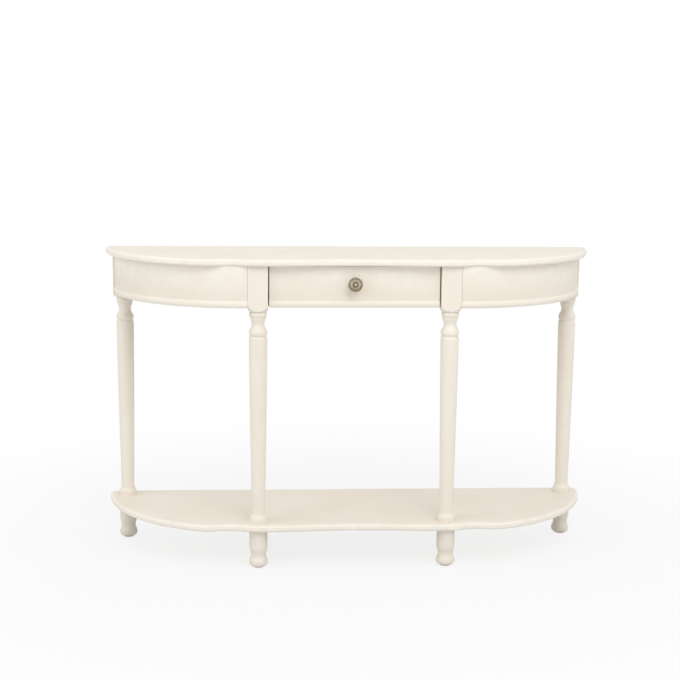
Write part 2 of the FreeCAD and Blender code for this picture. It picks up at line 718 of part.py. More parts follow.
def top_bracket_screws():
    """One pan-head screw up into the top and one into the frame for each bracket."""
    reach = (BRACKET_LEG + BRACKET_THICK) / 2
    pegs = []
    for seat, way in bracket_seats():
        under = seat + Vector(0, way * reach, -BRACKET_THICK)
        beside = seat + Vector(0, way * BRACKET_THICK, -reach)
        pegs.append(Peg(SCREW_RADIUS, BRACKET_SCREW_LENGTH, under, ALONG_Z, "pan"))
        pegs.append(Peg(SCREW_RADIUS, BRACKET_SCREW_LENGTH, beside, ALONG_Y * -way, "pan"))
    return pegs


def knob_screw():
    """Machine screw from inside the drawer through its front into the knob."""
    length = DRAWER_FRONT_THICK + KNOB_SCREW_IN_KNOB
    return Peg(SCREW_RADIUS, length, Vector(0, DRAWER_INSIDE, KNOB_LEVEL), ALONG_Y * -1, "pan")


def solids(pegs):
    """The solids of several fasteners as one node."""
    return Part.makeCompound([peg.solid for peg in pegs])


def drilled(shape, pegs):
    """The shape with a hole for every fastener that reaches it."""
    for peg in pegs:
        if shape.BoundBox.intersect(peg.hole.BoundBox):
            shape = shape.cut(peg.hole)
    return shape


def build():
    """All nodes by name."""
    rods = leg_rods()
    pins = glide_pins()
    dowels = frame_dowels()
    box_dowels = drawer_dowels()
    rail_screws = back_rail_screws()
    bracket_screws = top_bracket_screws()
    pull_screw = knob_screw()
    pegs = rods + pins + dowels + rail_screws + bracket_screws
    drawer_pegs = box_dowels + [pull_screw]

    wood = {
        "top_board": board(TOP_UNDER, TOP_THICK),
        "shelf": board(FOOT_HEIGHT, SHELF_THICK),
        "back_rail": back_rail(),
        "front_rail_upper": front_rail(KICK_BOTTOM, TOP_UNDER),
        "front_rail_lower": front_rail(SKIRT_BOTTOM + LOWER_RAIL_LIFT, LEDGE_TOP),
    }
    for name, place in leg_places().items():
        wood["foot_" + name] = foot(place)
    for name, side in SIDES.items():
        wood["apron_" + name] = on_side(apron(), side)
        wood["leg_front_" + name] = on_side(front_leg(), side)
        wood["leg_rear_" + name] = on_side(rear_leg(), side)
        wood["runner_" + name] = on_side(runner(), side)
        wood["kicker_" + name] = on_side(kicker(), side)
        wood["drawer_stop_" + name] = on_side(drawer_stop(), side)
        wood["glue_block_front_" + name] = on_side(front_glue_block(), side)
        wood["glue_block_rear_" + name] = on_side(rear_glue_block(), side)
    nodes = {name: drilled(shape, pegs) for name, shape in wood.items()}

    drawer = {
        "drawer_front": drawer_front(),
        "drawer_back": drawer_back(),
        "drawer_bottom": drawer_bottom(),
        "knob": knob(),
    }
    for name, side in SIDES.items():
        drawer["drawer_side_" + name] = on_side(drawer_side(), side)
    nodes.update({name: drilled(shape, drawer_pegs) for name, shape in drawer.items()})

    nodes["leg_rods"] = solids(rods)
    nodes["foot_glides"] = Part.makeCompound(foot_glides(pins))
    nodes["frame_dowels"] = solids(dowels)
    nodes["drawer_dowels"] = solids(box_dowels)
    nodes["back_rail_screws"] = solids(rail_screws)
    nodes["top_brackets"] = Part.makeCompound([drilled(b, bracket_screws) for b in top_brackets()])
    nodes["top_bracket_screws"] = solids(bracket_screws)
    nodes["knob_screw"] = pull_screw.solid
    return nodes


os.makedirs("parts", exist_ok=True)
for node, shape in build().items():
    shape.exportStep("parts/" + node + ".step")
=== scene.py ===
import math

import bmesh
import bpy
import numpy as np
from mathutils import Matrix, Vector


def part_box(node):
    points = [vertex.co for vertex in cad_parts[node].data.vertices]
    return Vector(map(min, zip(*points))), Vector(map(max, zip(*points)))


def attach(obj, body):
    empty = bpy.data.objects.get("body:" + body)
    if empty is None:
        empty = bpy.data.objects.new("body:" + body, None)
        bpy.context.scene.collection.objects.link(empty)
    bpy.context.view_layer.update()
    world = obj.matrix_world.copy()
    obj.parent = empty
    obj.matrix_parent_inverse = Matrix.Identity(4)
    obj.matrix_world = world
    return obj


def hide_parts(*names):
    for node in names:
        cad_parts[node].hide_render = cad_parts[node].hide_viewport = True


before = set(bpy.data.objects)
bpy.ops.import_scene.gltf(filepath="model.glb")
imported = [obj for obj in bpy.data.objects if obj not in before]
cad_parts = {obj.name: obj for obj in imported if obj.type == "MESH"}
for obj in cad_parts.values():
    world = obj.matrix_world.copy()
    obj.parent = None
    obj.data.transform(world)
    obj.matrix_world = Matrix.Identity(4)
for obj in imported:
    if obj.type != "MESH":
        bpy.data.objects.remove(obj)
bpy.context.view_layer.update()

bl_info = {
    "name": "Demilune Table",
    "version": (1, 0, 0),
    "blender": (4, 5, 0),
    "location": "3D View > Sidebar > Table",
    "description": "Dresses a half-moon console table in paint, wood and metal, and sets a studio round it",
    "category": "Object",
}

TOP_LOW, TOP_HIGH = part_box("top_board")
APRON_LOW, APRON_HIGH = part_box("apron_right")
SIDES = {"left": -1, "right": 1}
ENDS = ("front", "rear")
QUARTER_TURN = math.pi / 2
ACROSS = (1, 0)
UP = (0, 1)
WHITE = (1, 1, 1)


def srgb(red, green, blue):
    """Linear colour of a red, green and blue on the usual scale to 255."""
    part = np.array([red, green, blue]) / 255
    return tuple(np.where(part <= 0.04045, part / 12.92, ((part + 0.055) / 1.055) ** 2.4))


def middle(node):
    """Middle of a node's box."""
    low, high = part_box(node)
    return (low + high) / 2


# Properties

def number(name, description, default, **more):
    """A plain number."""
    return bpy.props.FloatProperty(name=name, description=description, default=default, **more)


def length(name, description, default):
    """A size in metres."""
    return number(name, description, default, precision=4, unit="LENGTH", subtype="DISTANCE")


def share(name, description, default):
    """A part of one."""
    return number(name, description, default, min=0, max=1, precision=3, subtype="FACTOR")


def angle(name, description, degrees):
    """An angle, given in degrees and kept in radians."""
    return number(name, description, math.radians(degrees), unit="ROTATION", subtype="ANGLE")


def power(name, description, watts):
    """The power of a lamp."""
    return number(name, description, watts, unit="POWER")


def colour(name, description, default):
    """A linear colour."""
    return bpy.props.FloatVectorProperty(
        name=name, description=description, default=default, size=3, min=0, max=1, subtype="COLOR")


def set_of(kind, name, description):
    """A set of sizes or looks."""
    return bpy.props.PointerProperty(type=kind, name=name, description=description)


class BoardSizes(bpy.types.PropertyGroup):
    """Outline and edge of the top and the shelf."""

    sweep_radius: length("Sweep radius", "Radius of the long curve at each end", 0.350)
    sweep_lead: length("Sweep lead", "How far the sweep's circle runs in front of the board", 0.005)
    corner_radius: length("Corner radius", "Radius where the sweep turns into the back", 0.025)
    corner_trim: length("Corner trim", "How much of that corner the straight back cuts off", 0.010)
    centre_hollow: length("Centre hollow", "How far the middle of the front edge lies back", 0.010)
    lobe_setback: length("Lobe setback", "How far the nose of each lobe lies back", 0.009)
    lobe_radius: length("Lobe radius", "Radius of each lobe", 0.060)
    dip_depth: length("Dip depth", "How far the dip lies behind the lobe", 0.005)
    dip_from_leg: length("Dip from leg", "Distance of the dip from the front leg", 0.072)
    edge_flat: length("Edge flat", "Flat left in the middle of the bullnose", 0.0045)


class SkirtSizes(bpy.types.PropertyGroup):
    """Section of the aprons and the drawer front."""

    overhang: length("Overhang", "How far the top stands out over the aprons", 0.0205)
    apron_thick: length("Apron thickness", "Thickness of the bent aprons", 0.012)
    bead_height: length("Bead height", "Height of the half-round bead", 0.0165)
    bead_proud: length("Bead projection", "How far the bead stands out", 0.003)
    end_ease: length("End ease", "Rounding of the drawer front's ends", 0.0015)


class LegSizes(bpy.types.PropertyGroup):
    """Turning of a leg, with drops down from the underside of its block."""

    block: length("Block", "Side of the square block", 0.046)
    block_drop: length("Block drop", "How far the block reaches below the aprons", 0.0106)
    block_ease: length("Block ease", "Rounding of the block's upright edges", 0.0015)
    shoulder_rise: length("Shoulder rise", "Height of the turned shoulder at the block's corners", 0.017)
    shoulder_bulge: length("Shoulder bulge", "Roundness of that shoulder", 0.0024)
    quirk_radius: length("Quirk radius", "Radius of the groove under the block", 0.0184)
    cap_radius: length("Cap radius", "Radius of the ring under the block", 0.0206)
    cap_drop: length("Cap drop", "Underside of that ring", 0.0114)
    neck_radius: length("Neck radius", "Radius of the narrow neck", 0.0148)
    neck_drop: length("Neck drop", "Level of the neck", 0.0292)
    torus_radius: length("Torus radius", "Radius of the ring under the neck", 0.0214)
    torus_drop: length("Torus drop", "Level of that ring", 0.0492)
    collar_radius: length("Collar radius", "Radius of the narrow collar", 0.0192)
    collar_drop: length("Collar drop", "Top of the collar", 0.0557)
    collar_height: length("Collar height", "Height of the collar", 0.002)
    shaft_top_radius: length("Shaft top radius", "Radius at the head of the shaft", 0.0214)
    shaft_drop: length("Shaft drop", "Level of the shaft's head", 0.0637)
    shaft_low_radius: length("Shaft low radius", "Radius at the foot of the shaft", 0.0158)
    shaft_swell: length("Shaft swell", "How far the shaft swells in the middle", 0.0005)
    base_radius: length("Base radius", "Radius of the ring on the shelf", 0.0213)
    base_ring: length("Base ring", "Height of that ring", 0.0085)
    base_rise: length("Base rise", "Height at which the shaft starts", 0.025)


class FootSizes(bpy.types.PropertyGroup):
    """Turning of a foot, with heights from the floor."""

    radius: length("Radius", "Radius of the straight upper part", 0.0214)
    shoulder_height: length("Shoulder height", "Height where the straight part ends", 0.050)
    neck_radius: length("Neck radius", "Radius of the neck", 0.0177)
    neck_height: length("Neck height", "Height of the neck", 0.0295)
    ball_radius: length("Ball radius", "Radius of the round end", 0.0222)
    ball_height: length("Ball height", "Height of the round end's widest place", 0.0125)
    sole_radius: length("Sole radius", "Radius of the flat underneath", 0.0155)


class KnobSizes(bpy.types.PropertyGroup):
    """Rosette knob, with distances out from the drawer front."""

    petals: bpy.props.IntProperty(name="Petals", description="Petals round the rosette", default=14, min=3)
    petal_rise: length("Petal rise", "Height of each petal's back", 0.0013)
    scallop: length("Scallop", "Depth of the scallops in the rim", 0.0003)
    rim_width: length("Rim width", "Width of the round rim", 0.0024)
    rim_thick: length("Rim thickness", "Depth of the rim", 0.004)
    rim_reach: length("Rim reach", "How far out the rim stands", 0.023)
    flange_radius: length("Flange radius", "Radius of the flange on the drawer front", 0.0085)
    flange_thick: length("Flange thickness", "Thickness of that flange", 0.0025)
    stem_radius: length("Stem radius", "Radius of the stem", 0.0055)
    stem_reach: length("Stem reach", "Where the stem starts to flare", 0.0075)
    dish_depth: length("Dish depth", "How far the dish lies below the rim", 0.002)
    ring_radius: length("Ring radius", "Outer radius of the inner ring", 0.0062)
    ring_width: length("Ring width", "Width of the inner ring", 0.0018)
    boss_radius: length("Boss radius", "Radius of the round boss in the middle", 0.003)


class PaintLook(bpy.types.PropertyGroup):
    """Satin cream paint."""

    cream: colour("Cream", "Colour of the paint", srgb(237, 230, 219))
    warm: colour("Warm cast", "Colour of the slightly warmer clouds in it", srgb(234, 225, 211))
    # Painted shade: a warm darker colour laid into hollows and creases, where shade falls
    painted_shade: colour("Glaze", "Colour settled in hollows", srgb(206, 190, 164))
    # Lighter edges: partly wear from rubbing, partly a painted highlight on the bullnose, bead and corners
    wear_and_highlight: colour("Rubbed", "Colour of rubbed edges", srgb(248, 243, 234))
    painted_shade_share: share("Glaze share", "How strongly the glaze shows", 0.30)
    wear_and_highlight_share: share("Rubbed share", "How strongly rubbed edges show", 0.65)
    roughness: share("Roughness", "Roughness of the satin film", 0.5)
    shine: share("Shine", "Strength of the film's reflections, where a half is plain gloss", 0.3)


class MetalLook(bpy.types.PropertyGroup):
    """Aged metal of the knob and zinc plate of the ironwork."""

    # Lighter high places of the knob: wear on the petals, and a painted highlight on the boss and upper side
    bright: colour("Bright", "Rubbed high places of the knob", srgb(238, 233, 217))
    aged: colour("Aged", "Body colour of the knob", srgb(170, 161, 140))
    # Also laid on the knob's underside as painted shade
    brown: colour("Brown", "Browner tarnish in the body colour", srgb(154, 131, 106))
    patina: colour("Patina", "Dark patina in the knob's hollows", srgb(120, 111, 92))
    zinc: colour("Zinc", "Zinc plate", srgb(196, 198, 200))
    zinc_dull: colour("Dull zinc", "Duller spangle in the zinc plate", srgb(166, 168, 168))


class WoodLook(bpy.types.PropertyGroup):
    """Bare timber, plywood and nylon."""

    timber: colour("Timber", "Light wood of the bare timber", srgb(222, 196, 156))
    timber_dark: colour("Timber grain", "Late wood in its grain", srgb(186, 148, 102))
    ply: colour("Plywood", "Face veneer of the drawer bottom", srgb(230, 208, 170))
    ply_dark: colour("Plywood grain", "Grain of that veneer", srgb(203, 170, 124))
    nylon: colour("Nylon", "Glides under the feet", srgb(226, 223, 213))


class StageLook(bpy.types.PropertyGroup):
    """Floor, lamps and camera."""

    floor: colour("Floor", "Pale floor", (0.8, 0.8, 0.8))
    ambient: number("Ambient", "Strength of the even light all round", 0.7, min=0)
    key: power("Key lamp", "Lamp at the front right", 32)
    left: power("Left lamp", "Lamp at the left", 28)
    right: power("Right lamp", "Lamp at the right", 14)
    place: bpy.props.FloatVectorProperty(
        name="Camera place", description="Where the camera stands", default=(-0.20785, -3.30286, 1.07332),
        size=3, unit="LENGTH", subtype="TRANSLATION")
    yaw: angle("Yaw", "How far the camera turns to the right", 3.145)
    pitch: angle("Pitch", "How far the camera looks down", 9.40)
    roll: angle("Roll", "How far the camera leans", 0.45)
    focal: number("Focal length", "Focal length of the lens", 73.405, unit="CAMERA")


class TableLook(bpy.types.PropertyGroup):
    """All that a user would change."""

    boards: set_of(BoardSizes, "Boards", "Top and shelf")
    skirt: set_of(SkirtSizes, "Skirt", "Aprons and drawer front")
    legs: set_of(LegSizes, "Legs", "Turned legs")
    feet: set_of(FootSizes, "Feet", "Turned feet")
    knob: set_of(KnobSizes, "Knob", "Rosette knob")
    paint: set_of(PaintLook, "Paint", "Cream paint")
    metal: set_of(MetalLook, "Metal", "Knob and ironwork")
    wood: set_of(WoodLook, "Wood", "Bare timber and nylon")
    stage: set_of(StageLook, "Stage", "Floor, lamps and camera")


# Lines that the surfaces are made from

TINY = 1e-6
SAME_POINT = 1e-7
SHARP_TURN = math.radians(25)
FULL_BEND = math.radians(70)
CREASE_REACH = 0.0003
CREASE_SHARE = 0.4
BEND_BLUR = 0.0015


def ways(turn):
    """The cosine and sine of each angle."""
    return np.stack([np.cos(turn), np.sin(turn)], -1)


def gaps(points, axis=0):
    """Distances between neighbouring points."""
    return np.linalg.norm(np.diff(points, axis=axis), axis=-1)


def running(parts):
    """Running total of some lengths, from nothing."""
    return np.concatenate([[0], np.cumsum(parts)])


def round_about(centre, radius, start, end, count):
    """Circle arc: the centre plus the radius times the cosine and sine of evenly spaced angles."""
    return np.asarray(centre) + radius * ways(np.linspace(start, end, count))


def ogee(start, end, along, count=14):
    """Two equal circle arcs, tangent where they meet, that leave start and reach end along one direction.

    With run and rise measured along and across that direction, the radius is (run² + rise²) / 4 rise.
    The second arc is the first one turned half round the midpoint.
    """
    start, end, along = np.asarray(start), np.asarray(end), np.asarray(along)
    across = np.array([-along[1], along[0]])
    run, rise = (end - start) @ along, (end - start) @ across
    radius = (run ** 2 + rise ** 2) / (4 * rise)
    turn = np.linspace(0, 2 * np.arctan(rise / run), count)[:, None]
    first = start + radius * (along * np.sin(turn) + across * (1 - np.cos(turn)))
    return np.concatenate([first, start + end - first[-2::-1]])


def bulged(start, end, height, count):
    """Circle arc over a chord, with the given height to the right of the way from start to end."""
    start, end = np.asarray(start), np.asarray(end)
    chord = end - start
    half = np.hypot(*chord) / 2
    along = chord / (2 * half)
    aside = np.array([along[1], -along[0]])
    radius = (half ** 2 + height ** 2) / (2 * height)
    turn = np.linspace(-1, 1, count)[:, None] * 2 * np.arctan(height / half)
    rise = radius * np.cos(turn) - radius + height
    return (start + end) / 2 + radius * along * np.sin(turn) + aside * rise


def quarter_round(level, end, count=14):
    """Circle arc that leaves the first point straight up or down and ends at the second."""
    level, end = np.asarray(level), np.asarray(end)
    reach, rise = level[0] - end[0], end[1] - level[1]
    radius = (reach ** 2 + rise ** 2) / (2 * reach)
    turn = np.linspace(0, 2 * np.arctan(reach / rise), count)
    return level + radius * (ways(turn) - ACROSS)


def joined(*runs):
    """One line from several that meet end to end, with each meeting point kept once."""
    line = np.concatenate([np.atleast_2d(run) for run in runs])
    return line[np.concatenate([[True], gaps(line) > SAME_POINT])]


def steps(line, closed):
    """Step into and out of each point of a line."""
    into = line - np.roll(line, 1, 0)
    out = np.roll(line, -1, 0) - line
    if not closed:
        into[0], out[-1] = out[0], into[-1]
    return into, out


def creased(line, closed=False, reach=CREASE_REACH):
    """The line with a point more just before and after each sharp corner, so smooth shading keeps it."""
    into, out = steps(line, closed)
    before, after = np.linalg.norm(into, axis=1), np.linalg.norm(out, axis=1)
    sharp = (into * out).sum(1) < math.cos(SHARP_TURN) * before * after
    ahead = line - into * (np.minimum(reach, CREASE_SHARE * before) / before)[:, None]
    behind = line + out * (np.minimum(reach, CREASE_SHARE * after) / after)[:, None]
    stacked = np.stack([ahead, line, behind], 1).reshape(-1, 2)
    keep = np.stack([sharp, np.ones_like(sharp), sharp], 1).reshape(-1)
    return stacked[keep]


def bends(line, closed=False, blur=BEND_BLUR):
    """How convex and how hollow a line is near each point, from 0 to 1, with the solid on its left.

    The turning angles are added up with a bell-shaped weight by their distance along the line.
    """
    into, out = steps(line, closed)
    turn = np.arctan2(into[:, 0] * out[:, 1] - into[:, 1] * out[:, 0], (into * out).sum(1))
    place = np.cumsum(np.linalg.norm(into, axis=1))
    apart = np.abs(place[:, None] - place[None, :])
    if closed:
        apart = np.minimum(apart, place[-1] - apart)
    weight = np.exp(-(apart / blur) ** 2)
    convex = np.clip(weight @ np.maximum(turn, 0) / FULL_BEND, 0, 1)
    hollow = np.clip(weight @ np.maximum(-turn, 0) / FULL_BEND, 0, 1)
    return convex, hollow


# Meshes

MERGE_REACH = 1e-6
THIN_FACE = 1e-7
END_RING = 0.05


def add(name, data):
    """New object in the scene."""
    made = bpy.data.objects.new(name, data)
    bpy.context.scene.collection.objects.link(made)
    return made


def corners_of(grid):
    """The four corners of each cell of a grid, in order round the cell."""
    return [grid[:-1, :-1], grid[1:, :-1], grid[1:, 1:], grid[:-1, 1:]]


def shell(name, points, convex, hollow):
    """Smooth closed mesh object from a grid of points, whose first index runs along the piece.

    Neighbours on the grid are joined by quads, and the second index wraps round the piece. The Strokes map
    holds the mean length along and round the grid. The convex and hollow values become point attributes.
    """
    rows, columns = points.shape[:2]
    index = np.arange(rows * columns).reshape(rows, columns)
    index = np.concatenate([index, index[:, :1]], 1)
    quads = np.stack(corners_of(index), -1).reshape(-1, 4)
    wrapped = points.reshape(-1, 3)[index]
    u = running(gaps(wrapped).mean(1))
    v = running(gaps(wrapped, axis=1).mean(0))
    strokes = np.stack(corners_of(np.stack(np.meshgrid(u, v, indexing="ij"), -1)), 2)

    mesh = bpy.data.meshes.new(name)
    mesh.from_pydata(points.reshape(-1, 3).tolist(), [], quads.tolist())
    mesh.uv_layers.new(name="Strokes").data.foreach_set("uv", strokes.astype(np.float32).ravel())
    for label, values in (("convex", convex), ("hollow", hollow)):
        layer = mesh.attributes.new(label, "FLOAT", "POINT")
        layer.data.foreach_set("value", np.broadcast_to(values, (rows, columns)).astype(np.float32).ravel())

    work = bmesh.new()
    work.from_mesh(mesh)
    bmesh.ops.remove_doubles(work, verts=work.verts, dist=MERGE_REACH)
    bmesh.ops.dissolve_degenerate(work, edges=work.edges, dist=THIN_FACE)
    bmesh.ops.recalc_face_normals(work, faces=work.faces)
    work.to_mesh(mesh)
    work.free()
    mesh.polygons.foreach_set("use_smooth", np.ones(len(mesh.polygons), bool))
    return add(name, mesh)


def stand_for(piece, node, body, finish):
    """Dresses a piece and puts it in the place of a node."""
    piece.data.materials.append(finish)
    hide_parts(node)
    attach(piece, body)


def raised(plan, height):
    """Points of a plan at their heights."""
    return np.concatenate([plan, np.broadcast_to(height, plan.shape[:2])[..., None]], 2)


def with_ends(points, about):
    """The grid with its first and last rows closed to the mean of some of their points.

    A ring just inside each end comes first, so smooth shading keeps the edge.
    """
    ends = points[[0, -1]]
    middles = np.broadcast_to(ends[:, about].mean(1, keepdims=True), ends.shape)
    rings = ends + END_RING * (middles - ends)
    return np.concatenate([middles[:1], rings[:1], points, rings[1:], middles[1:]])


# Boards

# Shares of the way from a board's back to its bullnose where its flats have points
FLAT_SHARES = np.array([0, 0.002, 0.1, 0.3, 0.5, 0.7, 0.9, 0.985])
BACK_EASE = 0.0005
CORNER_SHARE = 0.98
# Convex values along the board that lighten its paint: wear with a painted highlight, strongest on the
# bullnose
NOSE_HIGHLIGHT_WEAR = 0.75
BACK_HIGHLIGHT_WEAR = 0.6
BACK_EDGE_HIGHLIGHT_WEAR = 0.8


def sweep_centre(sizes):
    """Plan of the right-hand sweep's centre, from which the sweep touches the corner's circle inside."""
    corner = corner_centre(sizes)
    y = TOP_LOW.y - sizes.sweep_lead + sizes.sweep_radius
    x = corner[0] - math.sqrt((sizes.sweep_radius - sizes.corner_radius) ** 2 - (corner[1] - y) ** 2)
    return np.array([x, y])


def corner_centre(sizes):
    """Plan of the right-hand back corner's centre."""
    return np.array([TOP_HIGH.x - sizes.corner_radius, TOP_HIGH.y + sizes.corner_trim - sizes.corner_radius])


def front_edge(sizes, count=270):
    """Plan of a board's edge from the middle of its front to its right-hand corner, and the angle there.

    It is a chain of tangent circle arcs: ogees from the hollow middle to the bulge over the leg, the dip and
    the lobe's nose, then the lobe and the sweep. It is sampled at equal steps of length.
    """
    front = TOP_LOW.y
    leg_x = middle("leg_front_right").x
    sweep = sweep_centre(sizes)
    lobe_y = front + sizes.lobe_setback + sizes.lobe_radius
    lobe_x = sweep[0] + math.sqrt((sizes.sweep_radius - sizes.lobe_radius) ** 2 - (lobe_y - sweep[1]) ** 2)
    lobe = np.array([lobe_x, lobe_y])
    nose = lobe - [0, sizes.lobe_radius]
    bulge = np.array([leg_x, front])
    dip = np.array([leg_x + sizes.dip_from_leg, front + sizes.lobe_setback + sizes.dip_depth])
    start = math.atan2(*(lobe - sweep)[::-1])
    end = math.atan2(*(corner_centre(sizes) - sweep)[::-1])
    line = joined(
        ogee([0, front + sizes.centre_hollow], bulge, ACROSS, count=40),
        ogee(bulge, dip, ACROSS, count=24),
        ogee(dip, nose, ACROSS, count=24),
        round_about(lobe, sizes.lobe_radius, -QUARTER_TURN, start, count=24),
        round_about(sweep, sizes.sweep_radius, start, end, count=160),
    )
    place = running(gaps(line))
    even = np.linspace(0, place[-1], count)
    return np.stack([np.interp(even, place, line[:, 0]), np.interp(even, place, line[:, 1])], 1), end


def bullnose(sizes, inset, count=14):
    """Plan of the lines that run round a board at each inset from its edge, the first index along the board.

    A point lies its inset in from the edge, along its normal. At the corner it lies on a circle of the
    corner's radius less the inset, in a direction that moves evenly to the angle where that circle meets the
    back, with one more step just before it. The left half mirrors the right one.
    """
    edge, start = front_edge(sizes)
    way = np.gradient(edge, axis=0)
    way[0] = ACROSS
    way /= np.linalg.norm(way, axis=1, keepdims=True)
    inwards = np.stack([-way[:, 1], way[:, 0]], 1)
    front = edge[:-1, None, :] + inset[None, :, None] * inwards[:-1, None, :]
    radius = sizes.corner_radius - inset
    end = np.arcsin((sizes.corner_radius - sizes.corner_trim) / radius)
    even = np.append(np.linspace(0, CORNER_SHARE, count), 1)
    turn = start + even[:, None] * (end - start)
    corner = corner_centre(sizes) + radius[None, :, None] * ways(turn)
    right = np.concatenate([front, corner])
    return np.concatenate([right[:0:-1] * [-1, 1], right])


def board(name, sizes, bottom, top):
    """Half-moon board: a bullnose section carried along the front edge, and ruled flats to the straight back.

    The section is two quarter circles with a flat between them. The board's flats run in straight lines from
    its first and last lines to a point that moves evenly along the back.
    """
    radius = (top - bottom - sizes.edge_flat) / 2
    turn = np.linspace(0, QUARTER_TURN, 13)
    depth = radius * (1 - np.sin(turn))
    rise = radius * (1 - np.cos(turn))
    level = np.concatenate([bottom + rise, top - rise[::-1]])
    nose = bullnose(sizes, np.concatenate([depth, depth[::-1]]))
    along = np.linspace(-1, 1, len(nose)) * nose[-1, 0, 0]
    back = np.stack([along, np.full(len(nose), TOP_HIGH.y)], 1)[:, None, :]
    run = FLAT_SHARES[None, :, None]
    under = back * (1 - run) + nose[:, :1] * run
    plan = np.concatenate([under, nose, under[:, ::-1], back, back], 1)
    flat = len(FLAT_SHARES)
    behind = [top - BACK_EASE, bottom + BACK_EASE]
    height = np.concatenate([np.full(flat, bottom), level, np.full(flat, top), behind])
    points = with_ends(raised(plan, height), flat + np.arange(len(level)))
    plain = np.zeros(flat - 1)
    # The bullnose is lightened as a painted highlight, along with wear
    wear_and_highlight_values = np.full(len(level), NOSE_HIGHLIGHT_WEAR)
    convex = np.concatenate([[BACK_EDGE_HIGHLIGHT_WEAR], plain, wear_and_highlight_values, plain, [BACK_EDGE_HIGHLIGHT_WEAR, BACK_HIGHLIGHT_WEAR, BACK_HIGHLIGHT_WEAR]])
    return shell(name, points, convex, 0.0)


# Aprons and drawer front

# Lightening of the drawer front's eased ends: wear with a painted highlight
END_HIGHLIGHT_WEAR = 0.7


def skirt_section(sizes, face, inside, bottom, top):
    """Section of an apron or drawer front: bottom, half-round bead, face, top and back, as a closed line."""
    line = joined(
        [inside, bottom],
        bulged([face, bottom], [face, bottom + sizes.bead_height], sizes.bead_proud, count=20),
        [face, top],
        [inside, top],
    )
    return creased(line, closed=True)


def apron(name, skirt, boards, side, count=150):
    """Apron: the section carried round the sweep's centre, from the leg block to the back rail.

    A point lies at its section's distance from the centre, in a direction that moves evenly from the angle
    where that distance meets the block's plane to the angle where it meets the rail's plane.
    """
    centre = sweep_centre(boards)
    outer = boards.sweep_radius - skirt.overhang
    section = skirt_section(skirt, outer, outer - skirt.apron_thick, APRON_LOW.z, APRON_HIGH.z)
    away = section[:, 0]
    start = -np.arccos((APRON_LOW.x - centre[0]) / away)
    end = np.arcsin((APRON_HIGH.y - centre[1]) / away)
    turn = start + np.linspace(0, 1, count)[:, None] * (end - start)
    plan = (centre + ways(turn) * away[:, None]) * [side, 1]
    points = with_ends(raised(plan, section[:, 1]), [0, away.argmax()])
    return shell(name, points, *bends(section, closed=True))


def drawer_front(name, skirt):
    """Drawer front: the section carried along X, with the ends of its face eased by a quarter circle."""
    low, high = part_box("drawer_front")
    face = -low.y - skirt.bead_proud
    section = skirt_section(skirt, face, -high.y, low.z, high.z)
    out = section[:, 0]
    turn = np.linspace(0, QUARTER_TURN, 7)
    end = high.x - skirt.end_ease + skirt.end_ease * np.sin(turn)
    between = np.linspace(-end[0], end[0], 60)[1:-1]
    along = np.concatenate([-end[::-1], between, end])
    fall = 1 - np.cos(turn)
    eased = np.concatenate([fall[::-1], np.zeros_like(between), fall])[:, None] * (out > (face - high.y) / 2)
    plan = np.stack(np.broadcast_arrays(along[:, None], skirt.end_ease * eased - out), 2)
    points = with_ends(raised(plan, section[:, 1]), [0, out.argmax()])
    convex, hollow = bends(section, closed=True)
    # The eased ends carry wear with a painted highlight
    wear_and_highlight_values = END_HIGHLIGHT_WEAR * np.pad(eased, ((2, 2), (0, 0)))
    return shell(name, points, np.maximum(convex, wear_and_highlight_values), hollow)


# Legs and feet

FACE_END = 42.6
CORNER_START = 43.1
CORNER_SPREAD = math.radians(3)
BLOCK_SHARPNESS = 70
BLOCK_STEP = 0.0005
NEAR_AXIS = 0.001
CUT_ROW = 0.0003
# Lightening of the block's upright corners: wear with a painted highlight
EDGE_HIGHLIGHT_WEAR = 0.8
# Painted contact shade at the foot of each leg on the shelf: how fast it fades upwards and how strong it is
CONTACT_SHADE_HEIGHT = 0.0025
CONTACT_SHADE_SHARE = 0.8
FOOT_STEP = 0.001


def leg_turning(sizes, bottom, top):
    """Radius and height up the turned leg, carried on outside the block so that the block cuts it off."""
    under = APRON_LOW.z - sizes.block_drop
    base = [sizes.base_radius, bottom]
    ring = [sizes.base_radius, bottom + sizes.base_ring]
    low = [sizes.shaft_low_radius, bottom + sizes.base_rise]
    high = [sizes.shaft_top_radius, under - sizes.shaft_drop]
    collar_low = [sizes.collar_radius, under - sizes.collar_drop - sizes.collar_height]
    collar_high = [sizes.collar_radius, under - sizes.collar_drop]
    torus = [sizes.torus_radius, under - sizes.torus_drop]
    neck = [sizes.neck_radius, under - sizes.neck_drop]
    cap_low = [sizes.quirk_radius, under - sizes.cap_drop]
    quirk = [sizes.quirk_radius, under]
    corner = [sizes.block / math.sqrt(2), under + sizes.shoulder_rise]
    line = joined(
        [0, bottom],
        base,
        ogee(ring, low, UP),
        bulged(low, high, sizes.shaft_swell, count=30),
        quarter_round(high, collar_low),
        collar_high,
        quarter_round(torus, collar_high)[::-1],
        ogee(torus, neck, UP),
        ogee(neck, cap_low, UP),
        bulged(cap_low, quirk, sizes.cap_radius - sizes.quirk_radius, count=16),
        bulged(quirk, corner, sizes.shoulder_bulge, count=60),
        [sizes.block, corner[1] + BLOCK_STEP],
        [sizes.block, top - BLOCK_STEP],
        [sizes.block, top],
        [0, top],
    )
    return creased(line)


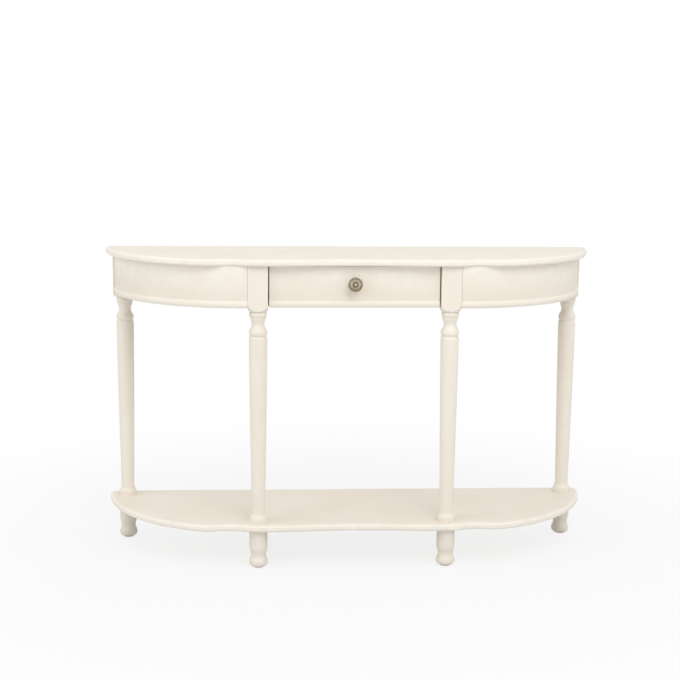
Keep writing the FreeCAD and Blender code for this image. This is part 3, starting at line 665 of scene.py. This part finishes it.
def square_reach(sizes, turn):
    """Distance from the axis to the block's outline in each direction.

    It is half the side over the cosine of the angle from the nearest face, and near a corner the far point
    where the direction meets the corner's rounding circle.
    """
    half, ease = sizes.block / 2, sizes.block_ease
    off = np.abs((turn + QUARTER_TURN / 2) % QUARTER_TURN - QUARTER_TURN / 2)
    flat = half / np.cos(off)
    centre = (half - ease) * math.sqrt(2)
    skew = QUARTER_TURN / 2 - off
    across = centre * np.sin(skew)
    rounded = centre * np.cos(skew) + np.sqrt(np.maximum(ease ** 2 - across ** 2, 0))
    return np.where(half * np.tan(off) > half - ease, rounded, flat)


def leg(name, sizes, node, rebate=None):
    """Turned leg with its square block: at each height and angle, the soft minimum of turning and block.

    The soft minimum of two distances is the sum of their inverses to a high power, to the inverse power.
    The angles lie closer together at the block's corners. A rebate gives the heights and how far the leg may
    reach there. The axis is that of the foot below.
    """
    low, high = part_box(node)
    axis = np.array(middle(node.replace("leg", "foot")).xy)
    line = leg_turning(sizes, low.z, high.z)
    face = np.linspace(0, FACE_END, 15)
    corner = np.linspace(CORNER_START, 90 - CORNER_START, 7)
    quarter = np.concatenate([face, corner, np.linspace(90 - FACE_END, 90, 15)[:-1]])
    turn = np.radians(np.concatenate([quarter + 90 * k for k in range(4)]))
    way = ways(turn)
    square = square_reach(sizes, turn)
    radius = np.maximum(line[:, :1], NEAR_AXIS)
    reach = (radius ** -BLOCK_SHARPNESS + square ** -BLOCK_SHARPNESS) ** (-1 / BLOCK_SHARPNESS)
    reach[[0, -1]] = 0
    height = line[:, 1]
    if rebate:
        height, limit = rebate(axis, way, height)
        reach = np.minimum(reach, limit)
    points = raised(axis + reach[..., None] * way, height[:, None])
    convex, hollow = bends(line)
    squared = line[:, :1] > square
    near_corner = np.exp(-((turn % QUARTER_TURN - QUARTER_TURN / 2) / CORNER_SPREAD) ** 2)
    # Block corners lightened: wear with a painted highlight
    convex = np.where(squared, EDGE_HIGHLIGHT_WEAR * near_corner, convex[:, None])
    # Painted contact shade: darker paint just above the shelf
    contact_shade = CONTACT_SHADE_SHARE * np.exp(-(line[:, 1] - low.z) / CONTACT_SHADE_HEIGHT)
    hollow = np.where(squared, 0, np.maximum(hollow, contact_shade)[:, None])
    return shell(name, points, convex, hollow)


def rear_rebate(skirt, boards, side):
    """Cut that fits a rear leg's block behind its apron and in front of the back rail.

    Above the apron's foot the leg reaches to the far point where a ray from its axis meets the circle of the
    apron's inside, and above the rail's foot to the rail's plane. The rows next to each foot are moved onto
    it, so that the cut starts there.
    """
    centre = sweep_centre(boards) * [side, 1]
    inner = boards.sweep_radius - skirt.overhang - skirt.apron_thick
    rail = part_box("back_rail")[0]

    def cut(axis, way, height):
        for level in (APRON_LOW.z, rail.z):
            height = np.where(np.abs(height - level) < CUT_ROW, level, height)
        ahead = way @ (axis - centre)
        to_apron = np.sqrt(ahead ** 2 + inner ** 2 - np.sum((axis - centre) ** 2)) - ahead
        to_rail = (rail.y - axis[1]) / np.maximum(way[:, 1], TINY)
        behind_apron = np.where(height[:, None] > APRON_LOW.z, to_apron, np.inf)
        before_rail = np.where(height[:, None] > rail.z, to_rail, np.inf)
        return height, np.minimum(behind_apron, before_rail)

    return cut


def foot(name, sizes, node, count=96):
    """Turned foot: the profile carried round the leg's axis."""
    low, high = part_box(node)
    axis = middle(node)
    sole = [sizes.sole_radius, low.z]
    ball = [sizes.ball_radius, sizes.ball_height]
    neck = [sizes.neck_radius, sizes.neck_height]
    shoulder = [sizes.radius, sizes.shoulder_height]
    line = creased(joined(
        [0, low.z],
        sole,
        quarter_round(ball, sole)[::-1],
        ogee(ball, neck, UP),
        ogee(neck, shoulder, UP),
        [sizes.radius, high.z - FOOT_STEP],
        [sizes.radius, high.z],
        [0, high.z],
    ))
    turn = np.linspace(0, 2 * math.pi, count + 1)[:-1]
    plan = np.array(axis.xy) + line[:, :1, None] * ways(turn)
    convex, hollow = bends(line)
    return shell(name, raised(plan, line[:, 1:]), convex[:, None], hollow[:, None])


# Knob

# Shares of a petal's length: where its tip starts, how long the tip is, and how long its root
PETAL_STRAIGHT = 0.62
PETAL_TIP = 0.26
PETAL_ROOT = 0.12
PETAL_COLUMNS = 18
PETAL_ROWS = 40
# Lightening of the petals and of the rest of the knob: wear with a painted highlight
PETAL_HIGHLIGHT_WEAR = 0.65
BODY_HIGHLIGHT_WEAR = 0.3
KNOB_CREASE = 0.00015
KNOB_BLUR = 0.0012


def knob_turning(sizes, outer, reach):
    """Radius and distance out of the turned knob, from its flange over its rim and dish to its boss."""
    half_rim = sizes.rim_width / 2
    dish = sizes.rim_reach - sizes.dish_depth
    stem = [sizes.stem_radius, sizes.stem_reach]
    flare = [outer, sizes.rim_reach - sizes.rim_thick]
    ring_middle = sizes.ring_radius - sizes.ring_width / 2
    petal_line = np.linspace(outer - sizes.rim_width, sizes.ring_radius, PETAL_ROWS)
    line = joined(
        [0, 0],
        [sizes.flange_radius, 0],
        [sizes.flange_radius, sizes.flange_thick],
        [sizes.stem_radius, sizes.flange_thick],
        quarter_round(stem, flare, count=24),
        round_about([outer - half_rim, sizes.rim_reach - half_rim], half_rim, 0, math.pi, count=16),
        np.stack([petal_line, np.full(PETAL_ROWS, dish)], 1),
        round_about([ring_middle, dish], sizes.ring_width / 2, 0, math.pi, count=14),
        [sizes.boss_radius, dish],
        round_about([0, reach - sizes.boss_radius], sizes.boss_radius, 0, QUARTER_TURN, count=14),
    )
    return creased(line, reach=KNOB_CREASE)


def knob(name, sizes):
    """Rosette knob: a turned profile whose dish carries raised petals and whose rim is scalloped.

    A petal is a half ellipse across its width, which is the whole pitch along the petal and closes in a half
    circle at its tip. The rim's radius falls by the scallop between petals.
    """
    low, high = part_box("knob")
    axis = middle("knob")
    line = knob_turning(sizes, high.x, high.y - low.y)
    radius, out = line[:, :1], line[:, 1:]
    inner_rim = high.x - sizes.rim_width
    dish = sizes.rim_reach - sizes.dish_depth
    turn = np.linspace(0, 2 * math.pi, sizes.petals * PETAL_COLUMNS + 1)[:-1]
    aside = np.abs(2 * ((turn / (2 * math.pi / sizes.petals)) % 1) - 1)
    along = np.clip((radius - sizes.ring_radius) / (inner_rim - sizes.ring_radius), 0, 1)
    in_dish = (radius > sizes.ring_radius) & (radius < inner_rim) & (np.abs(out - dish) < TINY)
    tip = np.maximum(along - PETAL_STRAIGHT, 0) / PETAL_TIP
    half = np.sqrt(np.clip(1 - tip ** 2, 0, 1)) * np.minimum(1, along / PETAL_ROOT)
    back = np.sqrt(np.clip(1 - (aside / np.maximum(half, TINY)) ** 2, 0, 1))
    petal = np.where(in_dish, back, 0)
    wide = radius - sizes.scallop * aside ** 2 * (radius > inner_rim)
    x = axis.x + wide * np.cos(turn)
    y = high.y - (out + sizes.petal_rise * petal)
    z = axis.z + wide * np.sin(turn)
    hollow = bends(line, blur=KNOB_BLUR)[1]
    boss = (radius < sizes.boss_radius) & (out > dish)
    # Lightened places: wear on the petals, and a painted highlight on the boss
    wear_and_highlight_values = np.where(in_dish, PETAL_HIGHLIGHT_WEAR * petal, np.where(boss, 1, BODY_HIGHLIGHT_WEAR))
    sunk = np.where(in_dish, 1 - petal, hollow[:, None])
    return shell(name, np.stack([x, y, z], 2), wear_and_highlight_values, sunk)


# Shader nodes

SOCKETS = {"value": "NodeSocketFloat", "colour": "NodeSocketColor", "vector": "NodeSocketVector"}
WHOLE = (0.0, 1.0)
# Range that holds most values of a noise
NOISE_RANGE = (0.3, 0.7)
GRAIN_WAVES = 22.0
RING_SHARE = 0.55


def feed(tree, node, inputs):
    """Puts values or links on a node's inputs by name or number. A colour gets full alpha."""
    for key, value in inputs.items():
        socket = node.inputs[key]
        if isinstance(value, bpy.types.NodeSocket):
            tree.links.new(value, socket)
        else:
            socket.default_value = (*value, 1.0) if socket.type == "RGBA" else value


def put(tree, kind, inputs=None, **settings):
    """Outputs of a new node with its settings and inputs."""
    node = tree.nodes.new(kind)
    for key, value in settings.items():
        setattr(node, key, value)
    feed(tree, node, inputs or {})
    return node.outputs


def maths(tree, operation, first, second):
    """Result of one sum on two values."""
    return put(tree, "ShaderNodeMath", {0: first, 1: second}, operation=operation)[0]


def times(tree, first, second):
    """Product of two values."""
    return maths(tree, "MULTIPLY", first, second)


def plus(tree, first, second, part):
    """A value plus a part of another."""
    return maths(tree, "ADD", first, times(tree, second, part))


def blend(tree, factor, first, second):
    """Mix of two colours."""
    return put(tree, "ShaderNodeMix", {0: factor, 6: first, 7: second}, data_type="RGBA")[2]


def spread(tree, value, old, new=WHOLE):
    """A value moved from an old range to a new one, and kept in it."""
    return put(tree, "ShaderNodeMapRange", {0: value, 1: old[0], 2: old[1], 3: new[0], 4: new[1]})[0]


def noise(tree, vector, scale, detail, rough=0.5, distortion=0.0):
    """Value of a noise pattern."""
    return put(tree, "ShaderNodeTexNoise", {
        "Vector": vector, "Scale": scale, "Detail": detail, "Roughness": rough, "Distortion": distortion,
    })[0]


def attribute(tree, name):
    """Value that the mesh carries under a name."""
    return put(tree, "ShaderNodeAttribute", attribute_name=name)["Fac"]


def object_place(tree):
    """Place of a point on its object."""
    return put(tree, "ShaderNodeTexCoord")["Object"]


def group(name, inputs, outputs, fill):
    """Node group with named sockets, made once. The fill function gets the tree and its input sockets."""
    tree = bpy.data.node_groups.get(name)
    if tree:
        return tree
    tree = bpy.data.node_groups.new(name, "ShaderNodeTree")
    for way, sockets in (("INPUT", inputs), ("OUTPUT", outputs)):
        for label, kind in sockets.items():
            tree.interface.new_socket(name=label, in_out=way, socket_type=SOCKETS[kind])
    entry = tree.nodes.new("NodeGroupInput")
    put(tree, "NodeGroupOutput", fill(tree, entry.outputs))
    return tree


def placed(tree, made, **inputs):
    """Outputs of a group placed in a material, with its inputs set."""
    return put(tree, "ShaderNodeGroup", inputs, node_tree=made)


def clouds():
    """Soft clouds of a second colour."""
    def fill(tree, given):
        mask = noise(tree, object_place(tree), given["Scale"], detail=3.0)
        mask = times(tree, spread(tree, mask, (0.35, 0.65)), given["Amount"])
        return {"Colour": blend(tree, mask, given["Colour"], given["Cast"]), "Mask": mask}

    inputs = {"Colour": "colour", "Cast": "colour", "Scale": "value", "Amount": "value"}
    return group("Clouds", inputs, {"Colour": "colour", "Mask": "value"}, fill)


def film_strokes():
    """Faint strokes that a brush leaves along a piece, from its Strokes map."""
    def fill(tree, given):
        length_map = put(tree, "ShaderNodeUVMap", uv_map="Strokes")[0]
        place = put(tree, "ShaderNodeSeparateXYZ", {0: length_map})
        x = times(tree, place[0], given["Along"])
        y = times(tree, place[1], given["Across"])
        vector = put(tree, "ShaderNodeCombineXYZ", {0: x, 1: y})[0]
        return {"Mask": noise(tree, vector, scale=1.0, detail=3.0, rough=0.6)}

    return group("Film Strokes", {"Along": "value", "Across": "value"}, {"Mask": "value"}, fill)


def patchy(name, label, full, detail, patches):
    """Mask of a value that the mesh carries, spread to its full range and broken up by noise."""
    def fill(tree, given):
        patch = spread(tree, noise(tree, object_place(tree), given["Scale"], detail), NOISE_RANGE, patches)
        mask = times(tree, spread(tree, attribute(tree, label), full), patch)
        return {"Mask": times(tree, mask, given["Amount"])}

    return group(name, {"Scale": "value", "Amount": "value"}, {"Mask": "value"}, fill)


def wear_and_highlight_edge():
    """Mask of lightened convex edges: partly wear from rubbing, partly a painted highlight."""
    return patchy("Rubbed Edge", "convex", full=(0.25, 0.9), detail=4.0, patches=(0.25, 1.0))


def hollow_shade_and_patina():
    """Mask of hollows: painted shade in the paint, and patina on the knob."""
    return patchy("Settled Hollow", "hollow", full=(0.05, 0.75), detail=3.0, patches=(0.55, 1.0))


def fine_grit():
    """Fine even grit, such as orange peel, pits or fuzz."""
    def fill(tree, given):
        return {"Mask": noise(tree, object_place(tree), given["Scale"], detail=2.0, rough=0.55)}

    return group("Fine Grit", {"Scale": "value"}, {"Mask": "value"}, fill)


def timber_grain():
    """Grain of sawn timber: broad bands and fine fibres, stretched along the wood."""
    def fill(tree, given):
        stretched = {0: object_place(tree), 1: given["Stretch"]}
        place = put(tree, "ShaderNodeVectorMath", stretched, operation="MULTIPLY")[0]
        band = spread(tree, noise(tree, place, scale=1.0, detail=3.0, distortion=0.9), NOISE_RANGE)
        ripple = put(tree, "ShaderNodeMath", {0: times(tree, band, GRAIN_WAVES)}, operation="SINE")[0]
        rings = spread(tree, ripple, (-1.0, 1.0))
        fibre = spread(tree, noise(tree, place, scale=9.0, detail=4.0, rough=0.7), (0.35, 0.7))
        mask = plus(tree, times(tree, rings, RING_SHARE), fibre, part=1 - RING_SHARE)
        return {"Colour": blend(tree, mask, given["Light"], given["Dark"]), "Mask": mask, "Fibre": fibre}

    inputs = {"Light": "colour", "Dark": "colour", "Stretch": "vector"}
    return group("Timber Grain", inputs, {"Colour": "colour", "Mask": "value", "Fibre": "value"}, fill)


# Materials

# Pattern along and across the grain, and for the veneer along, across and through it
ALONG_GRAIN = 2.5
ACROSS_GRAIN = 38.0
VENEER_STRETCH = (2.0, 16.0, 30.0)
# Heights over the knob's axis where the painted shade towards the underside and the fading of the wear and
# painted highlight start, and where both end
UNDERSIDE_SHADE_START = 0.004
WEAR_AND_HIGHLIGHT_START = -0.002
KNOB_UNDERSIDE = -0.010
SCUFF_SHARE = 0.8


def material(name, fill):
    """Material with one Principled shader, made once. The fill function gets the tree and the shader."""
    made = bpy.data.materials.get(name)
    if made:
        return made
    made = bpy.data.materials.new(name)
    made.use_nodes = True
    tree = made.node_tree
    fill(tree, tree.nodes["Principled BSDF"])
    return made


def bump(tree, height, distance, strength=0.5):
    """Normal from a height."""
    inputs = {"Height": height, "Distance": distance, "Strength": strength}
    return put(tree, "ShaderNodeBump", inputs)[0]


def clouded(tree, body, cast, scale, amount):
    """Outputs of a body colour with clouds of a cast."""
    return placed(tree, clouds(), Colour=body, Cast=cast, Scale=scale, Amount=amount)


def grit(tree, scale):
    """Mask of a fine grit."""
    return placed(tree, fine_grit(), Scale=scale)["Mask"]


def cream_paint():
    """Satin cream paint: faint warm clouds and strokes, painted shade in hollows, edges lightened by wear
    from rubbing and a painted highlight, and orange peel.
    """
    look = bpy.context.scene.demilune.paint

    def fill(tree, shader):
        tone = clouded(tree, look.cream, look.warm, scale=7.0, amount=0.7)["Colour"]
        strokes = placed(tree, film_strokes(), Along=9.0, Across=420.0)["Mask"]
        streak = spread(tree, strokes, (0.4, 0.75), (0.0, 0.12))
        tone = blend(tree, streak, tone, look.warm)
        # Painted shade: hollows and the paint just above the shelf turn towards a warm darker colour
        painted_shaded = placed(tree, hollow_shade_and_patina(), Scale=60.0, Amount=look.painted_shade_share)["Mask"]
        tone = blend(tree, painted_shaded, tone, look.painted_shade)
        # Convex edges lightened: wear from rubbing together with a painted highlight
        wear_and_highlight = placed(tree, wear_and_highlight_edge(), Scale=45.0, Amount=look.wear_and_highlight_share)["Mask"]
        tone = blend(tree, wear_and_highlight, tone, look.wear_and_highlight)
        height = plus(tree, times(tree, strokes, 0.6), grit(tree, scale=700.0), part=0.4)
        satin = spread(tree, strokes, NOISE_RANGE, (look.roughness - 0.05, look.roughness + 0.06))
        feed(tree, shader, {
            "Base Color": tone,
            "Roughness": satin,
            "Specular IOR Level": look.shine,
            "Normal": bump(tree, height, distance=0.00012),
        })

    return material("satin_cream", fill)


def bare_timber(name, light, dark, stretch):
    """Planed bare timber with its grain along one direction."""
    def fill(tree, shader):
        grain = placed(tree, timber_grain(), Light=light, Dark=dark, Stretch=stretch)
        height = plus(tree, grain["Fibre"], grit(tree, scale=1500.0), part=0.3)
        feed(tree, shader, {
            "Base Color": grain["Colour"],
            "Roughness": spread(tree, grain["Mask"], WHOLE, (0.72, 0.58)),
            "Normal": bump(tree, height, distance=0.0001),
        })

    return material(name, fill)


def aged_metal():
    """Aged cast metal: a painted shade that turns it browner towards its underside, patina dark in hollows,
    high places lighter with wear and a painted highlight, and pitted.
    """
    look = bpy.context.scene.demilune.metal
    axis = middle("knob").z

    def fill(tree, shader):
        tone = clouded(tree, look.aged, look.brown, scale=90.0, amount=0.6)["Colour"]
        level = put(tree, "ShaderNodeSeparateXYZ", {0: object_place(tree)})[2]
        # Painted shade: browner towards the underside
        below = spread(tree, level, (axis + UNDERSIDE_SHADE_START, axis + KNOB_UNDERSIDE), (0.0, 0.75))
        tone = blend(tree, below, tone, look.brown)
        sunk = placed(tree, hollow_shade_and_patina(), Scale=420.0, Amount=1.0)["Mask"]
        tone = blend(tree, sunk, tone, look.patina)
        # Wear with a painted highlight on high places, fading towards the underside
        wear_and_highlight_by_height = spread(tree, level, (axis + WEAR_AND_HIGHLIGHT_START, axis + KNOB_UNDERSIDE), (0.85, 0.35))
        high_wear_and_highlight = placed(tree, wear_and_highlight_edge(), Scale=380.0, Amount=wear_and_highlight_by_height)["Mask"]
        tone = blend(tree, high_wear_and_highlight, tone, look.bright)
        pits = grit(tree, scale=2600.0)
        feed(tree, shader, {
            "Base Color": tone,
            "Roughness": plus(tree, spread(tree, sunk, WHOLE, (0.38, 0.62)), pits, part=0.1),
            "Metallic": spread(tree, sunk, WHOLE, (0.85, 0.35)),
            "Normal": bump(tree, pits, distance=0.00008, strength=0.6),
        })

    return material("antique_metal", fill)


def zinc_steel():
    """Zinc-plated steel with a faint spangle."""
    look = bpy.context.scene.demilune.metal

    def fill(tree, shader):
        spangle = clouded(tree, look.zinc, look.zinc_dull, scale=220.0, amount=1.0)
        grains = grit(tree, scale=2200.0)
        feed(tree, shader, {
            "Base Color": spangle["Colour"],
            "Roughness": plus(tree, spread(tree, spangle["Mask"], WHOLE, (0.28, 0.42)), grains, part=0.1),
            "Metallic": 1.0,
            "Normal": bump(tree, grains, distance=0.00003),
        })

    return material("zinc_plate", fill)


def nylon():
    """Matt nylon, slightly scuffed."""
    look = bpy.context.scene.demilune.wood

    def fill(tree, shader):
        scuffed = tuple(SCUFF_SHARE * value for value in look.nylon)
        grains = grit(tree, scale=1800.0)
        feed(tree, shader, {
            "Base Color": clouded(tree, look.nylon, scuffed, scale=180.0, amount=0.6)["Colour"],
            "Roughness": spread(tree, grains, NOISE_RANGE, (0.5, 0.66)),
            "Normal": bump(tree, grains, distance=0.00004),
        })

    return material("glide_nylon", fill)


# Stage

FLOOR_HALF = 6.0
FLOOR_DULL = 0.97
# Distances from the table's middle between which the floor turns white to the camera, and how white it is
WHITE_REACH = (0.7, 1.5)
WHITE_SHARES = (0.8, 1.0)
# Name, place and side of each square lamp, and the point at which they shine
LAMPS = (
    ("key", (0.6, -2.3, 2.8), 1.6),
    ("left", (-2.9, -1.4, 2.2), 2.4),
    ("right", (2.9, -1.4, 2.2), 2.4),
)
LAMP_AIM = (0.0, 0.0, 0.4)
SENSOR_WIDTH = 36


def seen_rays(tree):
    """One for rays that show the stage to the camera, straight or in metal and glass."""
    path = put(tree, "ShaderNodeLightPath")
    shown = maths(tree, "MAXIMUM", path["Is Camera Ray"], path["Is Glossy Ray"])
    return maths(tree, "MAXIMUM", shown, path["Is Transmission Ray"])


def floor(look):
    """Pale floor that is white to the camera away from the table and keeps the table's shadow near it."""
    low, high = -FLOOR_HALF, FLOOR_HALF
    mesh = bpy.data.meshes.new("floor")
    mesh.from_pydata([(low, low, 0), (high, low, 0), (high, high, 0), (low, high, 0)], [], [(0, 1, 2, 3)])
    made = bpy.data.materials.new("pale_floor")
    made.use_nodes = True
    tree = made.node_tree
    tree.nodes.clear()
    dull = tuple(FLOOR_DULL * value for value in look.floor)
    speckle = spread(tree, grit(tree, scale=300.0), NOISE_RANGE)
    tone = blend(tree, speckle, look.floor, dull)
    lit = put(tree, "ShaderNodeBsdfDiffuse", {"Color": tone})[0]
    white = put(tree, "ShaderNodeEmission", {"Color": WHITE, "Strength": 1.0})[0]
    away = put(tree, "ShaderNodeVectorMath", {0: object_place(tree)}, operation="LENGTH")["Value"]
    seen = times(tree, spread(tree, away, WHITE_REACH, WHITE_SHARES), seen_rays(tree))
    mixed = put(tree, "ShaderNodeMixShader", {0: seen, 1: lit, 2: white})[0]
    put(tree, "ShaderNodeOutputMaterial", {"Surface": mixed})
    mesh.materials.append(made)
    add("floor", mesh)


def backdrop(look):
    """World that is white to the camera and an even soft light to the table."""
    world = bpy.data.worlds.new("backdrop")
    world.use_nodes = True
    tree = world.node_tree
    tree.nodes.clear()
    even = put(tree, "ShaderNodeBackground", {"Color": WHITE, "Strength": look.ambient})[0]
    white = put(tree, "ShaderNodeBackground", {"Color": WHITE, "Strength": 1.0})[0]
    mixed = put(tree, "ShaderNodeMixShader", {0: seen_rays(tree), 1: even, 2: white})[0]
    put(tree, "ShaderNodeOutputWorld", {"Surface": mixed})
    bpy.context.scene.world = world


def lamp(name, place, side, watts):
    """Square soft lamp that shines from its place at the table."""
    light = bpy.data.lights.new(name, "AREA")
    light.shape = "SQUARE"
    light.size = side
    light.energy = watts
    made = add(name, light)
    made.location = place
    made.rotation_mode = "QUATERNION"
    made.rotation_quaternion = (Vector(LAMP_AIM) - Vector(place)).to_track_quat("-Z", "Y")


def camera(look):
    """Camera at the place and angles of the look, level but for its roll."""
    data = bpy.data.cameras.new("camera")
    data.sensor_width = SENSOR_WIDTH
    data.lens = look.focal
    made = add("camera", data)
    level = math.cos(look.pitch)
    ahead = Vector((math.sin(look.yaw) * level, math.cos(look.yaw) * level, -math.sin(look.pitch)))
    right = Vector((math.cos(look.yaw), -math.sin(look.yaw), 0))
    up = right.cross(ahead)
    leant = right * math.cos(look.roll) + up * math.sin(look.roll)
    above = up * math.cos(look.roll) - right * math.sin(look.roll)
    turn = Matrix((leant, above, -ahead)).transposed()
    made.matrix_world = Matrix.Translation(Vector(look.place)) @ turn.to_4x4()
    bpy.context.scene.camera = made


# Operators

def paint(piece, node, body="frame"):
    """Puts a piece in cream paint in the place of a node."""
    stand_for(piece, node, body, cream_paint())


class DEMILUNE_OT_boards(bpy.types.Operator):
    """Make the painted top and shelf"""

    bl_idname = "demilune.boards"
    bl_label = "Top and shelf"

    def execute(self, context):
        sizes = context.scene.demilune.boards
        for node in ("top_board", "shelf"):
            low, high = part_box(node)
            paint(board("painted_" + node, sizes, low.z, high.z), node)
        return {"FINISHED"}


class DEMILUNE_OT_aprons(bpy.types.Operator):
    """Make the bent aprons"""

    bl_idname = "demilune.aprons"
    bl_label = "Aprons"

    def execute(self, context):
        look = context.scene.demilune
        for name, side in SIDES.items():
            node = "apron_" + name
            paint(apron("painted_" + node, look.skirt, look.boards, side), node)
        return {"FINISHED"}


class DEMILUNE_OT_legs(bpy.types.Operator):
    """Make the turned legs"""

    bl_idname = "demilune.legs"
    bl_label = "Legs"

    def execute(self, context):
        look = context.scene.demilune
        for name, side in SIDES.items():
            for end in ENDS:
                node = f"leg_{end}_{name}"
                rebate = rear_rebate(look.skirt, look.boards, side) if end == "rear" else None
                paint(leg("painted_" + node, look.legs, node, rebate), node)
        return {"FINISHED"}


class DEMILUNE_OT_feet(bpy.types.Operator):
    """Make the turned feet"""

    bl_idname = "demilune.feet"
    bl_label = "Feet"

    def execute(self, context):
        sizes = context.scene.demilune.feet
        for name in SIDES:
            for end in ENDS:
                node = f"foot_{end}_{name}"
                paint(foot("painted_" + node, sizes, node), node)
        return {"FINISHED"}


class DEMILUNE_OT_drawer_front(bpy.types.Operator):
    """Make the painted drawer front"""

    bl_idname = "demilune.drawer_front"
    bl_label = "Drawer front"

    def execute(self, context):
        piece = drawer_front("painted_drawer_front", context.scene.demilune.skirt)
        paint(piece, "drawer_front", "drawer")
        return {"FINISHED"}


class DEMILUNE_OT_knob(bpy.types.Operator):
    """Make the rosette knob"""

    bl_idname = "demilune.knob"
    bl_label = "Knob"

    def execute(self, context):
        piece = knob("rosette_knob", context.scene.demilune.knob)
        stand_for(piece, "knob", "drawer", aged_metal())
        return {"FINISHED"}


class DEMILUNE_OT_inside(bpy.types.Operator):
    """Finish the back rail, the drawer box, the inner frame and the fasteners"""

    bl_idname = "demilune.inside"
    bl_label = "Inside and fasteners"

    def execute(self, context):
        look = context.scene.demilune.wood
        timbers = []
        for axis, name in enumerate(("timber_across", "timber_lengthways", "timber_upright")):
            stretch = [ACROSS_GRAIN] * 3
            stretch[axis] = ALONG_GRAIN
            timbers.append(bare_timber(name, look.timber, look.timber_dark, stretch))
        across, lengthways, upright = timbers
        veneer = bare_timber("birch_veneer", look.ply, look.ply_dark, VENEER_STRETCH)
        finishes = (
            (cream_paint(), "back_rail"),
            (across, "front_rail_upper front_rail_lower drawer_back frame_dowels"),
            (lengthways, "runner_left runner_right kicker_left kicker_right drawer_side_left"),
            (lengthways, "drawer_side_right drawer_dowels drawer_stop_left drawer_stop_right"),
            (upright, "glue_block_front_left glue_block_front_right"),
            (upright, "glue_block_rear_left glue_block_rear_right"),
            (veneer, "drawer_bottom"),
            (zinc_steel(), "knob_screw leg_rods back_rail_screws top_brackets top_bracket_screws"),
            (nylon(), "foot_glides"),
        )
        for finish, nodes in finishes:
            for node in nodes.split():
                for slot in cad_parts[node].material_slots:
                    slot.material = finish
        return {"FINISHED"}


class DEMILUNE_OT_stage(bpy.types.Operator):
    """Set the floor, the lamps, the backdrop and the camera"""

    bl_idname = "demilune.stage"
    bl_label = "Stage"

    def execute(self, context):
        look = context.scene.demilune.stage
        floor(look)
        backdrop(look)
        for name, place, side in LAMPS:
            lamp(name, place, side, getattr(look, name))
        camera(look)
        context.scene.view_settings.view_transform = "Standard"
        return {"FINISHED"}


# Panel and registration

GROUPS = (
    BoardSizes, SkirtSizes, LegSizes, FootSizes, KnobSizes, PaintLook, MetalLook, WoodLook, StageLook,
    TableLook,
)
STEPS = (
    DEMILUNE_OT_boards, DEMILUNE_OT_aprons, DEMILUNE_OT_legs, DEMILUNE_OT_feet, DEMILUNE_OT_drawer_front,
    DEMILUNE_OT_knob, DEMILUNE_OT_inside, DEMILUNE_OT_stage,
)


class DEMILUNE_PT_table(bpy.types.Panel):
    """Lists the steps that dress the table"""

    bl_idname = "DEMILUNE_PT_table"
    bl_label = "Demilune table"
    bl_space_type = "VIEW_3D"
    bl_region_type = "UI"
    bl_category = "Table"

    def draw(self, context):
        for step in STEPS:
            self.layout.operator(step.bl_idname)


CLASSES = (*GROUPS, *STEPS, DEMILUNE_PT_table)


def register():
    for made in CLASSES:
        bpy.utils.register_class(made)
    bpy.types.Scene.demilune = set_of(TableLook, "Table", "Table's look")


def unregister():
    del bpy.types.Scene.demilune
    for made in reversed(CLASSES):
        bpy.utils.unregister_class(made)


def main():
    register()
    for step in STEPS:
        space, name = step.bl_idname.split(".")
        getattr(getattr(bpy.ops, space), name)()


if __name__ == "__main__":
    main()
